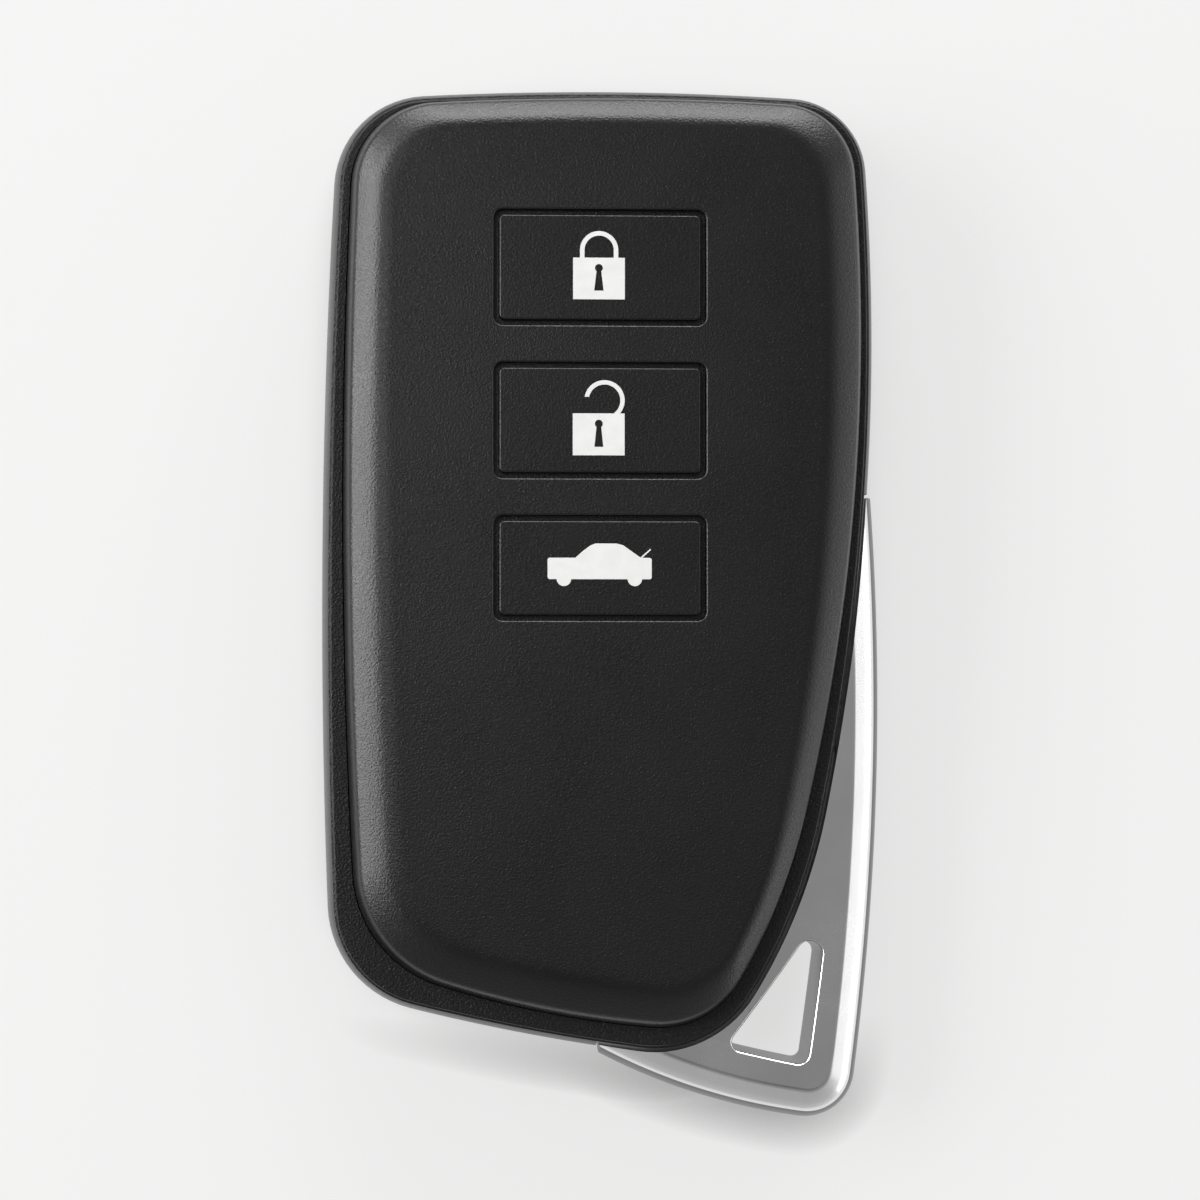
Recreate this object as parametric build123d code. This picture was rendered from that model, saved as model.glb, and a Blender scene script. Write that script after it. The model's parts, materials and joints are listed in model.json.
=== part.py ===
from build123d import *
import math
import os

# A car key fob lying on its back. +Z comes out of the button face, +Y points to the end away from the
# key ring, and the origin is on the flat back, in the middle of the case. Sizes are millimetres.

# Case and cover
case_width = 42.4
case_length = 74.8
rim_height = 8.6  # ledge round the front cover, above the back
cover_rise = 3.8  # button face above the ledge
case_floor = 1.2
flare = 0.64  # how far the side wall stands out past the ledge
flare_drop = 2.6  # widest level below the ledge
back_inset = 3.0  # edge of the flat back inside the ledge outline
cover_wall = 1.2
straight_rise = 0.6  # upright foot of the cover above the ledge
seat_depth = 1.2  # recess in the ledge that takes the cover
seat_width = 0.5
gasket_height = 0.5
cover_fit = 0.1  # gap between cover and ledge, all round
lip_thickness = 0.8
lip_drop = 1.0
smallest_round = 0.05
overrun = 2.0  # how far a cutting body passes the faces that it cuts

# Outlines run clockwise seen from the front. Each row is a corner: its place as shares of case_width
# and case_length, then its corner radius and the bulge of the side after it as shares of case_width.
# A corner with no radius is where two sides meet without a round.
rim_outline_shares = (
    (-0.471, 0.520, 0.160, 0.0189),
    (0.476, 0.5215, 0.1325, 0.0491),
    (0.408, -0.224, 0, 0.0302),
    (0.196, -0.4755, 0.2075, 0.0158),
    (-0.484, -0.400, 0.188, 0.0231),
)
cover_outline_shares = (
    (-0.456, 0.5145, 0.159, 0.0180),
    (0.463, 0.517, 0.1375, 0.0554),
    (0.3815, -0.223, 0, 0.0219),
    (0.1975, -0.451, 0.172, 0.0302),
    (-0.449, -0.372, 0.227, 0.0250),
)
face_outline_shares = (
    (-0.377, 0.488, 0.130, 0.0118),
    (0.373, 0.489, 0.118, 0.0450),
    (0.311, -0.227, 0, 0.0165),
    (0.193, -0.394, 0.142, 0.0189),
    (-0.354, -0.332, 0.189, 0.0165),
)
head_outline_shares = (
    (0.495, 0.214, 0, 0.0426),
    (0.4665, -0.550, 0.092, 0.0436),
    (-0.124, -0.4345, 0, 0.0012),
)
ring_hole_shares = (
    (0.4245, -0.3195, 0.0260, 0.0012),
    (0.3892, -0.4920, 0.0212, 0.0012),
    (0.2170, -0.4746, 0.0177, -0.0047),
)

# Side of the rear case, from its back to its widest level. Reach is a share of back_inset inside the
# ledge's outline and of flare outside it, and level is a share of the widest level.
lower_side_shares = ((-1, 0), (-0.42, 0.06), (-0.10, 0.23), (0.60, 0.52), (1, 1))
# From there to the ledge: reach as a share of flare, and rise as a share of flare_drop.
upper_side_shares = ((0.66, 0.62), (0, 1))
shoulder_steps = 5  # straight strips up the cover's rounded shoulder
hollow_share = 0.25  # how far the cover's hollow leans in from its foot toward its face

# Buttons, from the top: lock, unlock, boot lid
button_names = ("lock", "unlock", "trunk")
button_centre_x = -0.3
button_opening_width = 16.4
button_opening_round = 0.7
# Height of each opening, top of the first one and gap between them, as shares of case_length
opening_height_shares = (0.121, 0.121, 0.1096)
first_opening_share = 0.4071
opening_gap_share = 0.0388
button_groove = 0.42
button_travel = 0.4
flange_width = 0.6
flange_thickness = 0.8
flange_gap = 0.05
flange_side_gap = 0.2
pocket_wall = 0.8
cap_shell = 1.0
socket_width = 4.6

# Keypad mat, rubber plungers and snap domes
mat_thickness = 0.7
mat_gap = 0.25
skirt_width = 7.0
skirt_thickness = 0.3
skirt_foot = 0.5
plunger_diameter = 3.4
rubber_gap = 0.05
snap_dome_width = 5.0
snap_dome_height = 0.45
snap_dome_crown = 1.8
snap_dome_thickness = 0.12

# Inner frame and circuit board
frame_gap = 0.15
frame_floor = 0.8
frame_wall = 0.9
under_board_share = 0.3314  # room between frame floor and board, as a share of rim_height
board_thickness = 0.8
board_gap = 0.3
board_side_gap = 0.2
post_width = 2.2
post_place_shares = ((-0.30, 0.42), (0.16, 0.42), (-0.38, 0.10), (-0.38, -0.10), (0.02, -0.36))

# Emergency key
head_thickness = 6.0
head_step = 0.3  # head's front face below the ledge
head_gap = 0.25
head_edge_round = 2.45
head_edge_steps = 3  # straight strips round each edge
head_upper_end = 8.2  # where the head stops against the case's flare, up the right side
head_left_end = 0.0  # and along the lower end
head_end_gap = 0.3
head_wall_inset = 0.05  # case wall beside the head, inside the rest of the ledge's outline
blade_width = 6.4
blade_thickness = 2.2
blade_centre_share = 0.3656
blade_tip = 16.0
blade_shoulder = -16.0
tang_width = 2.8
tang_end = -24.4
blade_gap = 0.2
blade_groove_width = 1.3
blade_groove_depth = 0.45
blade_point = 2.2
channel_wall = 1.0
channel_plate = 0.8
channel_end_gap = 1.2

# Catch, release slider and its spring
notch_centre = -8.0
notch_depth = 0.75
notch_width = 1.9
catch_thickness = 0.3
catch_back_gap = 0.4
catch_anchor_top = 2.0
catch_anchor_length = 1.8
catch_gap = 0.1
finger_centre = -11.8
finger_size = 1.2
finger_thickness = 1.0
finger_lead = 0.15
release_travel = 2.2
release_plate_thickness = 0.75
release_plate_width = 4.2
release_plate_length = 8.85
pad_length = 5.0
pad_width = 3.2
pad_recess = 0.25
pad_offset = 2.35
pad_groove = 0.35
pad_groove_pitch = 1.05
slider_gap = 0.3
window_gap = 0.4
spring_length = 6.0
spring_reach = 1.8
spring_strip = 0.8
spring_legs = 6
spring_play = 0.05

# Coin cell, its holder, cover and contacts
# The cell is the largest that fits across and along the case: shares of case_width, case_length and,
# for its thickness, rim_height. A 42.4 by 74.8 mm case takes the common 20 by 3.2 mm cell.
cell_across_share = 0.4717
cell_along_share = 0.2674
cell_height_share = 0.3721
cell_lid_share = 0.85  # of the cell's diameter
cell_lid_height = 0.3
negative_rise = 0.4
contact_sheet = 0.15
contact_width = 3.0
contact_hook = 2.0
contact_gap = 0.02
holder_gap = 0.2
holder_wall = 1.0
holder_sides = 8
holder_margin = 0.3
holder_top_gap = 0.08
holder_slot = 4.4
battery_cover_thickness = 0.7
coin_slot_share = 0.5  # of the cell's diameter
coin_slot_width = 1.6
coin_slot_depth = 0.4

# Parts on the board
control_chip_size = 6.0
control_chip_height = 1.0
leg_count = 6
leg_width = 0.4
leg_length = 0.8
leg_thickness = 0.15
radio_chip_size = 4.0
radio_chip_height = 0.9
chip_bevel = 0.2
crystal_length = 3.2
crystal_width = 2.2
crystal_height = 0.8
crystal_lid_height = 0.2
crystal_lid_inset = 0.25
chip_part_length = 1.2
chip_part_width = 0.7
chip_part_height = 0.6
chip_part_pitch = 1.9
chip_part_count = 5
coil_length = 9.0
coil_width = 3.0
coil_clearance = 0.45  # under a coil
coil_flange = 1.2
coil_neck = 0.6
coil_ribs = 6
coil_rib_step = 0.12
transponder_length = 11.0
transponder_width = 3.2
transponder_clearance = 0.25
antenna_thickness = 0.15
antenna_width = 0.8

# Places on the board, as shares of case_width and case_length. A row of chip parts runs down from its
# place, and a coil or transponder hangs under the board there.
board_place_shares = {
    "control_chip": (-0.31, 0.20),
    "radio_chip": (-0.32, 0.045),
    "crystal": (-0.33, -0.035),
    "chip_capacitors": (0.215, 0.20),
    "chip_resistors": (0.215, 0.36),
    "wake_coil_x": (-0.05, 0.36),
    "wake_coil_y": (0.12, 0.20),
    "transponder": (-0.20, 0.05),
}

# Levels
button_face = rim_height + cover_rise
cover_inside = button_face - cover_wall
seat_level = rim_height - seat_depth
cover_base = seat_level + gasket_height
frame_base = case_floor + frame_gap
under_board_room = under_board_share * rim_height
board_base = frame_base + frame_floor + under_board_room
board_top = board_base + board_thickness
flange_top = cover_inside - flange_gap
flange_base = flange_top - flange_thickness
mat_top = flange_base - button_travel - mat_gap
mat_base = mat_top - mat_thickness
snap_dome_top = board_top + snap_dome_height
head_top = rim_height - head_step
blade_level = head_top - head_thickness / 2
cell_base = board_top + negative_rise
cell_top = cell_base + cell_height_share * rim_height
holder_top = cell_top + contact_sheet + contact_gap + holder_top_gap

# Places
blade_centre = blade_centre_share * case_width
blade_left = blade_centre - blade_width / 2
blade_right = blade_centre + blade_width / 2
channel_left = blade_left - blade_gap - channel_wall
board_right = channel_left - board_side_gap
catch_right = channel_left - catch_back_gap
finger_left = catch_right + finger_lead
plate_right = finger_left + finger_thickness
plate_left = plate_right - release_plate_length
plate_middle = finger_centre + (release_plate_width - finger_size) / 2 - slider_gap
board_notch_left = catch_right - catch_thickness - release_travel - catch_gap
board_notch_top = catch_anchor_top + channel_wall / 2 + board_side_gap
board_notch_bottom = finger_centre - finger_size / 2 - window_gap
cell_diameter = min(cell_across_share * case_width, cell_along_share * case_length)
holder_radius = cell_diameter / 2 + holder_gap + holder_wall
cell_x = board_notch_left - holder_margin - holder_radius


def opening_rows():
    """Name, middle and height of each button opening, from the top one down."""
    rows = []
    top = first_opening_share * case_length
    for name, height_share in zip(button_names, opening_height_shares):
        height = height_share * case_length
        rows.append((name, top - height / 2, height))
        top -= height + opening_gap_share * case_length
    return rows


button_rows = opening_rows()
pocket_margin = flange_width + flange_side_gap + pocket_wall
lowest_pocket = button_rows[-1][1] - button_rows[-1][2] / 2 - pocket_margin
cell_y = lowest_pocket - holder_margin * 2 - holder_radius


def outline_rows(share_rows):
    """Corners of an outline as (place, radius, bulge of the side after it)."""
    rows = []
    for x_share, y_share, radius_share, bulge_share in share_rows:
        place = Vector(x_share * case_width, y_share * case_length, 0)
        rows.append((place, radius_share * case_width, bulge_share * case_width))
    return rows


def blended_rows(first, second, share):
    """An outline that lies between two others, share of the way from the first to the second."""
    rows = []
    for (place_a, radius_a, bulge_a), (place_b, radius_b, bulge_b) in zip(first, second):
        place = place_a + (place_b - place_a) * share
        radius = radius_a + (radius_b - radius_a) * share
        bulge = bulge_a + (bulge_b - bulge_a) * share
        rows.append((place, radius, bulge))
    return rows


def side_circle(start, end, bulge):
    """Centre and signed radius of a side; the radius is negative where the side is hollow."""
    chord = end - start
    radius = ((chord.length / 2) ** 2 + bulge**2) / (2 * bulge)
    outward = Vector(-chord.Y, chord.X, 0).normalized()
    return (start + end) / 2 + outward * (bulge - radius), radius


def corner_centre(side_a, side_b, radius, corner):
    """Centre of the round that touches both sides from inside, next to their corner."""
    centre_a, radius_a = side_a
    centre_b, radius_b = side_b
    reach_a = abs(radius_a - radius)
    reach_b = abs(radius_b - radius)
    between = centre_b - centre_a
    along = (between.length**2 + reach_a**2 - reach_b**2) / (2 * between.length)
    across = math.sqrt(max(reach_a**2 - along**2, 0))
    unit = between.normalized()
    normal = Vector(-unit.Y, unit.X, 0)
    choices = [centre_a + unit * along + normal * across * turn for turn in (-1, 1)]
    return min(choices, key=lambda place: (place - corner).length)


def outline_face(rows, growth, level):
    """Face inside an outline with every side moved outward by growth, at a level."""
    count = len(rows)
    sides = []
    for i, (place, _, bulge) in enumerate(rows):
        centre, radius = side_circle(place, rows[(i + 1) % count][0], bulge)
        sides.append((centre, radius + growth))
    rounds = []
    for i, (place, radius, _) in enumerate(rows):
        round_radius = max(radius + growth, smallest_round) if radius else 0
        centre = corner_centre(sides[i - 1], sides[i], round_radius, place)
        touch = []
        for side_centre, side_radius in (sides[i - 1], sides[i]):
            toward = (centre - side_centre).normalized()
            touch.append(side_centre + toward * abs(side_radius))
        rounds.append((centre, round_radius, touch[0], touch[1]))
    edges = []
    for i in range(count):
        centre, radius, enter, leave = rounds[i]
        if radius:
            middle = centre + ((enter - centre) + (leave - centre)).normalized() * radius
            edges.append(ThreePointArc(enter, middle, leave))
        side_centre, side_radius = sides[i]
        arrive = rounds[(i + 1) % count][2]
        toward = ((leave - side_centre) + (arrive - side_centre)).normalized()
        middle = side_centre + toward * abs(side_radius)
        edges.append(ThreePointArc(leave, middle, arrive))
    return Pos(0, 0, level) * Face(Wire(edges))


def outline_block(rows, growth, low, high):
    """Upright block with an outline's shape between two levels."""
    return extrude(outline_face(rows, growth, low), high - low, dir=(0, 0, 1))


def block(left, right, front, back, low, high):
    """Box between two places on each axis."""
    size = Box(right - left, back - front, high - low)
    return Pos((left + right) / 2, (front + back) / 2, (low + high) / 2) * size


def rounded_block(centre_x, centre_y, width, height, radius, low, high):
    """Upright block with a rounded rectangle's shape between two levels."""
    shape = RectangleRounded(width, height, max(radius, smallest_round))
    return extrude(Pos(centre_x, centre_y, low) * shape, high - low, dir=(0, 0, 1))


rim = outline_rows(rim_outline_shares)
cover_edge = outline_rows(cover_outline_shares)
face_edge = outline_rows(face_outline_shares)
head_edge = outline_rows(head_outline_shares)
ring_hole = outline_rows(ring_hole_shares)


def past_head_ends(growth):
    """Blocks above the head's upper end and left of its left end, moved out by growth."""
    low = -2 * overrun
    high = rim_height + 2 * overrun
    above = block(-case_width, case_width, head_upper_end + growth, case_length, low, high)
    beside = block(-case_width, head_left_end - growth, -case_length, case_length, low, high)
    return above + beside


def blade_passage(low_y, high_y):
    """Room for the blade to slide in, with its gap all round."""
    return block(
        blade_left - blade_gap,
        blade_right + blade_gap,
        low_y,
        high_y,
        blade_level - blade_thickness / 2 - blade_gap,
        blade_level + blade_thickness / 2 + blade_gap,
    )


def release_pad_place():
    """Left and right ends of the thumb pad, at rest."""
    right = plate_right - pad_offset
    return right - pad_length, right


def case_body(farthest, inset):
    """Case without its hollow: flat back, rounded edge, side flared up to farthest past the ledge."""
    widest = rim_height - flare_drop
    profile = []
    for reach_share, level_share in lower_side_shares:
        reach = reach_share * (flare if reach_share > 0 else back_inset)
        profile.append((reach, level_share * widest))
    for reach_share, rise_share in upper_side_shares:
        profile.append((reach_share * flare, widest + rise_share * flare_drop))
    sections = [outline_face(rim, min(reach, farthest) - inset, level) for reach, level in profile]
    return loft(sections, ruled=True)


def rear_case():
    """Tray with a seat for the cover, without its flare where the key head lies against it."""
    head_room = outline_block(head_edge, head_end_gap, -overrun, rim_height + overrun)
    head_room -= past_head_ends(head_end_gap)
    body = case_body(flare, 0) - head_room + case_body(0, head_wall_inset)
    body -= outline_block(cover_edge, -seat_width, case_floor, rim_height + overrun)
    body -= outline_block(cover_edge, cover_fit, seat_level, rim_height + overrun)
    body -= blade_passage(tang_end * 2, blade_tip)
    left, right = release_pad_place()
    body -= block(
        left - release_travel - window_gap,
        right + window_gap,
        plate_middle - pad_width / 2 - slider_gap,
        plate_middle + pad_width / 2 + slider_gap,
        -overrun,
        case_floor + frame_gap,
    )
    return body


def shoulder_sections(foot):
    """Outlines from the cover's foot to its face, on a quarter ellipse."""
    sections = []
    for i in range(shoulder_steps + 1):
        angle = math.radians(90 * i / shoulder_steps)
        rows = blended_rows(cover_edge, face_edge, 1 - math.cos(angle))
        sections.append(outline_face(rows, 0, foot + (button_face - foot) * math.sin(angle)))
    return sections


def button_pockets():
    """Ribs under the cover that guide each button's flange and press on the mat."""
    ribs = None
    for _, centre_y, height in button_rows:
        wide = button_opening_width + 2 * pocket_margin
        tall = height + 2 * pocket_margin
        inner_wide = wide - 2 * pocket_wall
        inner_tall = tall - 2 * pocket_wall
        rib = block(
            button_centre_x - wide / 2, button_centre_x + wide / 2, centre_y - tall / 2,
            centre_y + tall / 2, mat_top, cover_inside + cover_wall / 2,
        )
        rib -= block(
            button_centre_x - inner_wide / 2, button_centre_x + inner_wide / 2,
            centre_y - inner_tall / 2, centre_y + inner_tall / 2, mat_top - overrun, cover_inside,
        )
        ribs = rib if ribs is None else ribs + rib
    return ribs


def front_cover():
    """Raised shell with a rounded shoulder, three button openings and a lip that enters the case."""
    foot = rim_height + straight_rise
    shell = outline_block(cover_edge, 0, cover_base, foot)
    shell += loft(shoulder_sections(foot), ruled=True)
    lip_outside = seat_width + cover_fit
    lip_inside = lip_outside + lip_thickness
    shell += outline_block(cover_edge, -lip_outside, cover_base - lip_drop, cover_base + lip_drop)
    shell -= outline_block(cover_edge, -lip_inside, cover_base - lip_drop - overrun, rim_height)
    hollow = blended_rows(cover_edge, face_edge, hollow_share)
    shell -= outline_block(hollow, -lip_inside, cover_base, cover_inside)
    shell += button_pockets()
    for _, centre_y, height in button_rows:
        shell -= rounded_block(
            button_centre_x, centre_y, button_opening_width, height, button_opening_round,
            cover_inside - overrun, button_face + overrun,
        )
    return shell


def button_cap(centre_y, height):
    """Hollow cap with a flange behind the opening and a solid socket on the plunger."""
    wide = button_opening_width - 2 * button_groove
    tall = height - 2 * button_groove
    radius = button_opening_round - button_groove
    cap = rounded_block(button_centre_x, centre_y, wide, tall, radius, flange_base, button_face)
    cap += rounded_block(
        button_centre_x, centre_y, button_opening_width + 2 * flange_width, height + 2 * flange_width,
        button_opening_round, flange_base, flange_top,
    )
    hollow = block(
        button_centre_x - wide / 2 + cap_shell, button_centre_x + wide / 2 - cap_shell,
        centre_y - tall / 2 + cap_shell, centre_y + tall / 2 - cap_shell,
        flange_base - overrun, button_face - cap_shell,
    )
    socket = block(
        button_centre_x - socket_width / 2, button_centre_x + socket_width / 2,
        centre_y - socket_width / 2, centre_y + socket_width / 2, flange_base, button_face,
    )
    return cap - (hollow - socket)


def revolved(points, centre_x, centre_y):
    """Turned solid from (radius, level) corners."""
    profile = make_face(Polyline(*[(radius, 0, level) for radius, level in points], close=True))
    return Pos(centre_x, centre_y, 0) * revolve(profile, Axis.Z)


def plunger(centre_y):
    """Rubber plunger that carries the cap's push to the snap dome."""
    tip = snap_dome_top + rubber_gap
    shaft = Cylinder(
        plunger_diameter / 2, flange_base - tip, align=(Align.CENTER, Align.CENTER, Align.MIN)
    )
    return Pos(button_centre_x, centre_y, tip) * shaft


def tapered_slab(low_width, high_width, depth, low, high):
    """Slab along Y whose width changes evenly between two levels."""
    profile = Polyline(
        (-low_width / 2, 0, low),
        (low_width / 2, 0, low),
        (high_width / 2, 0, high),
        (-high_width / 2, 0, high),
        close=True,
    )
    return extrude(make_face(profile), depth / 2, both=True)


def tapered_square(low_width, high_width, low, high):
    """Square block whose width changes evenly between two levels."""
    slab = tapered_slab(low_width, high_width, low_width, low, high)
    return slab & Rot(0, 0, 90) * slab


def flexing_skirt(centre_y):
    """Thin rubber skirt, four-sided, between the mat and the top of the plunger."""
    inner = plunger_diameter + 2 * rubber_gap
    high = flange_base - rubber_gap
    skirt = tapered_square(skirt_width, inner + 2 * skirt_thickness, mat_base, high)
    skirt -= tapered_square(skirt_width - 2 * skirt_foot, inner, mat_base, high)
    return Pos(button_centre_x, centre_y, 0) * skirt


def snap_dome(centre_y):
    """Four-legged sprung metal dome that the plunger snaps down on the board's contacts."""
    strip = tapered_slab(snap_dome_width, snap_dome_crown, snap_dome_crown, board_top, snap_dome_top)
    strip -= tapered_slab(
        snap_dome_width, snap_dome_crown, snap_dome_width,
        board_top - snap_dome_thickness, snap_dome_top - snap_dome_thickness,
    )
    return Pos(button_centre_x, centre_y, 0) * (strip + Rot(0, 0, 90) * strip)


def keypad_mat():
    """Silicone mat clamped under the button pockets, open round each skirt."""
    top = button_rows[0][1] + button_rows[0][2] / 2 + pocket_margin
    width = button_opening_width + 2 * pocket_margin
    mat = rounded_block(
        button_centre_x, (top + lowest_pocket) / 2, width, top - lowest_pocket,
        pocket_margin, mat_base, mat_top,
    )
    half = skirt_width / 2 + rubber_gap
    for _, centre_y, _ in button_rows:
        mat -= block(
            button_centre_x - half, button_centre_x + half, centre_y - half, centre_y + half,
            mat_base - overrun, mat_top + overrun,
        )
    return mat


def seal_gasket():
    """Ring on the case's seat, pressed by the cover's foot."""
    outer = outline_block(cover_edge, -rubber_gap, seat_level, cover_base)
    return outer - outline_block(cover_edge, -seat_width, seat_level - overrun, cover_base + overrun)


def beside_channel(limit, end):
    """Everything left of the blade's channel, and all that lies above the channel's end."""
    beside = block(-case_width, limit, -case_length, case_length, -overrun, rim_height)
    return beside + block(-case_width, case_width, end, case_length, -overrun, rim_height)


def inner_frame():
    """Tray that carries the board on its rim and posts, with a channel that guides the blade."""
    inset = seat_width + frame_gap
    channel_low = blade_level - blade_thickness / 2 - blade_gap - channel_plate
    channel_high = blade_level + blade_thickness / 2 + blade_gap + channel_plate
    channel_end = blade_tip + channel_end_gap
    inside = outline_block(cover_edge, -inset, frame_base, channel_high)
    floor = outline_block(cover_edge, -inset, frame_base, frame_base + frame_floor)
    ring = outline_block(cover_edge, -inset, frame_base, board_base)
    ring -= outline_block(cover_edge, -inset - frame_wall, frame_base - overrun, board_base + overrun)
    frame = (floor + ring) & beside_channel(channel_left + channel_wall, channel_end)
    low_y = notch_centre + notch_width * 2
    channel = block(channel_left, case_width, low_y, channel_end + channel_wall, channel_low, channel_high)
    channel += block(
        channel_left, channel_left + channel_wall, -case_length, channel_end + channel_wall,
        frame_base, channel_high,
    )
    channel &= inside
    channel -= blade_passage(-case_length, channel_end)
    frame += channel
    for x_share, y_share in post_place_shares:
        post = Box(
            post_width, post_width, board_base - frame_base, align=(Align.CENTER, Align.CENTER, Align.MIN)
        )
        frame += Pos(x_share * case_width, y_share * case_length, frame_base) * post
    anchor = block(
        catch_right - catch_thickness - channel_wall / 2, channel_left + channel_wall / 2,
        catch_anchor_top - catch_anchor_length, catch_anchor_top + channel_wall / 2,
        blade_level - blade_thickness / 2, blade_level + blade_thickness / 2,
    )
    anchor -= block(
        catch_right - catch_thickness - catch_gap / 2, catch_right + catch_gap / 2,
        catch_anchor_top - case_length, catch_anchor_top, -overrun, rim_height,
    )
    frame += anchor
    outside = frame_gap - seat_width - cover_fit
    within = outside - lip_thickness - 2 * frame_gap
    lip_room = outline_block(cover_edge, outside, cover_base - lip_drop - frame_gap, rim_height)
    lip_room -= outline_block(cover_edge, within, frame_base, rim_height + overrun)
    return frame - release_room() - lip_room


def release_room():
    """What the frame leaves free for the slider, its finger, its spring and the catch's nose."""
    low_y = plate_middle - release_plate_width / 2 - slider_gap
    high_y = plate_middle + release_plate_width / 2 + slider_gap
    finger_low = finger_centre - finger_size / 2 - window_gap
    finger_high = finger_centre + finger_size / 2 + window_gap
    room = block(
        plate_left - spring_length - spring_play, plate_right + slider_gap / 2, low_y, high_y,
        frame_base - overrun, frame_base + frame_floor + slider_gap,
    )
    room += block(
        board_notch_left, channel_left + channel_wall, finger_low, finger_high,
        frame_base - overrun, blade_level + blade_thickness / 2 + blade_gap,
    )
    room += block(
        board_notch_left, channel_left + channel_wall + blade_gap,
        finger_low, notch_centre + notch_width + slider_gap,
        blade_level - blade_thickness / 2 - blade_gap, blade_level + blade_thickness / 2 + blade_gap,
    )
    return room


def circuit_board():
    """Board on the frame's rim, cut out beside the catch."""
    inset = seat_width + frame_gap + board_gap
    board = outline_block(cover_edge, -inset, board_base, board_top)
    board &= beside_channel(board_right, blade_tip + channel_end_gap + channel_wall + board_side_gap)
    return board - block(
        board_notch_left, case_width, board_notch_bottom, board_notch_top, -overrun, rim_height
    )


def key_head():
    """Metal head with rounded outer edges, hollowed to the case's outline, with a ring hole and a slot."""
    half = head_thickness / 2
    profile = []
    for i in range(head_edge_steps + 1):
        angle = math.radians(90 * i / head_edge_steps)
        inward = head_edge_round * (1 - math.cos(angle))
        profile.append((-inward, half - head_edge_round + head_edge_round * math.sin(angle)))
    upper = [outline_face(head_edge, growth, blade_level + rise) for growth, rise in profile]
    lower = [outline_face(head_edge, growth, blade_level - rise) for growth, rise in profile]
    side = half - head_edge_round
    head = outline_block(head_edge, 0, blade_level - side, blade_level + side)
    head += loft(upper, ruled=True)
    head += loft(lower, ruled=True)
    head -= outline_block(rim, head_gap, -overrun, rim_height + overrun)
    head -= past_head_ends(0)
    head -= outline_block(ring_hole, 0, -overrun, rim_height + overrun)
    head -= block(
        blade_right - tang_width, blade_right, tang_end, 0,
        blade_level - blade_thickness / 2, blade_level + blade_thickness / 2,
    )
    return head


def key_blade():
    """Flat blade with a pointed tip, a groove on each face, a notch for the catch and a tang."""
    low = blade_level - blade_thickness / 2
    high = blade_level + blade_thickness / 2
    outline = Polyline(
        (blade_left, blade_shoulder),
        (blade_left, notch_centre - notch_width / 2),
        (blade_left + notch_depth, notch_centre - notch_width / 2 + notch_depth / 2),
        (blade_left + notch_depth, notch_centre + notch_width / 2),
        (blade_left, notch_centre + notch_width / 2),
        (blade_left, blade_tip - blade_point),
        (blade_left + blade_point, blade_tip),
        (blade_right - blade_point, blade_tip),
        (blade_right, blade_tip - blade_point),
        (blade_right, tang_end),
        (blade_right - tang_width, tang_end),
        (blade_right - tang_width, blade_shoulder),
        close=True,
    )
    blade = extrude(Pos(0, 0, low) * make_face(outline), high - low, dir=(0, 0, 1))
    for level in (low, high):
        groove = block(
            blade_centre - blade_groove_width / 2, blade_centre + blade_groove_width / 2,
            blade_shoulder + blade_width, blade_tip + overrun,
            level - blade_groove_depth, level + blade_groove_depth,
        )
        blade -= groove
    return blade


def key_catch():
    """Leaf spring anchored in the frame, with a nose in the blade's notch and a tail for the slider."""
    left = catch_right - catch_thickness
    nose_right = blade_left + notch_depth - catch_gap
    nose_low = notch_centre - notch_width / 2 + catch_gap + notch_depth / 2
    nose_high = notch_centre + notch_width / 2 - catch_gap
    tail = finger_centre - finger_size / 2
    outline = Polyline(
        (left, catch_anchor_top - catch_gap),
        (catch_right, catch_anchor_top - catch_gap),
        (catch_right, nose_high),
        (nose_right, nose_high),
        (nose_right, nose_low),
        (catch_right, nose_low - notch_depth),
        (catch_right, tail),
        (left, tail),
        close=True,
    )
    low = blade_level - blade_thickness / 2 + catch_gap
    high = blade_level + blade_thickness / 2 - catch_gap
    return extrude(Pos(0, 0, low) * make_face(outline), high - low, dir=(0, 0, 1))


def release_slider():
    """Plate over the floor's window, with a ribbed thumb pad outside and a finger behind the catch."""
    plate_top = frame_base + release_plate_thickness
    slider = block(
        plate_left, plate_right, plate_middle - release_plate_width / 2,
        plate_middle + release_plate_width / 2, frame_base, plate_top,
    )
    pad_left, pad_right = release_pad_place()
    slider += block(
        pad_left, pad_right, plate_middle - pad_width / 2, plate_middle + pad_width / 2,
        pad_recess, frame_base,
    )
    groove_count = int(pad_length / pad_groove_pitch)
    for i in range(1, groove_count):
        place = pad_left + pad_length * i / groove_count
        slider -= block(
            place - pad_groove / 2, place + pad_groove / 2, plate_middle - pad_width,
            plate_middle + pad_width, -overrun, pad_recess + pad_groove,
        )
    slider += block(
        finger_left, plate_right, finger_centre - finger_size / 2, finger_centre + finger_size / 2,
        frame_base, blade_level + blade_thickness / 2 - catch_gap,
    )
    return slider


def release_spring():
    """Folded strip between the slider's plate and the end of its room in the frame."""
    right = plate_left - spring_play
    left = right - spring_length + spring_play
    pitch = (right - left) / spring_legs
    lower = []
    upper = []
    for i in range(spring_legs + 1):
        turn = 1 if i % 2 else -1
        crest = plate_middle + turn * spring_reach / 2
        lower.append((left + pitch * i, crest - spring_strip / 2))
        upper.append((left + pitch * i, crest + spring_strip / 2))
    outline = Polyline(*lower, *reversed(upper), close=True)
    low = frame_base + spring_play
    high = frame_base + release_plate_thickness
    return extrude(Pos(0, 0, low) * make_face(outline), high - low, dir=(0, 0, 1))


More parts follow.
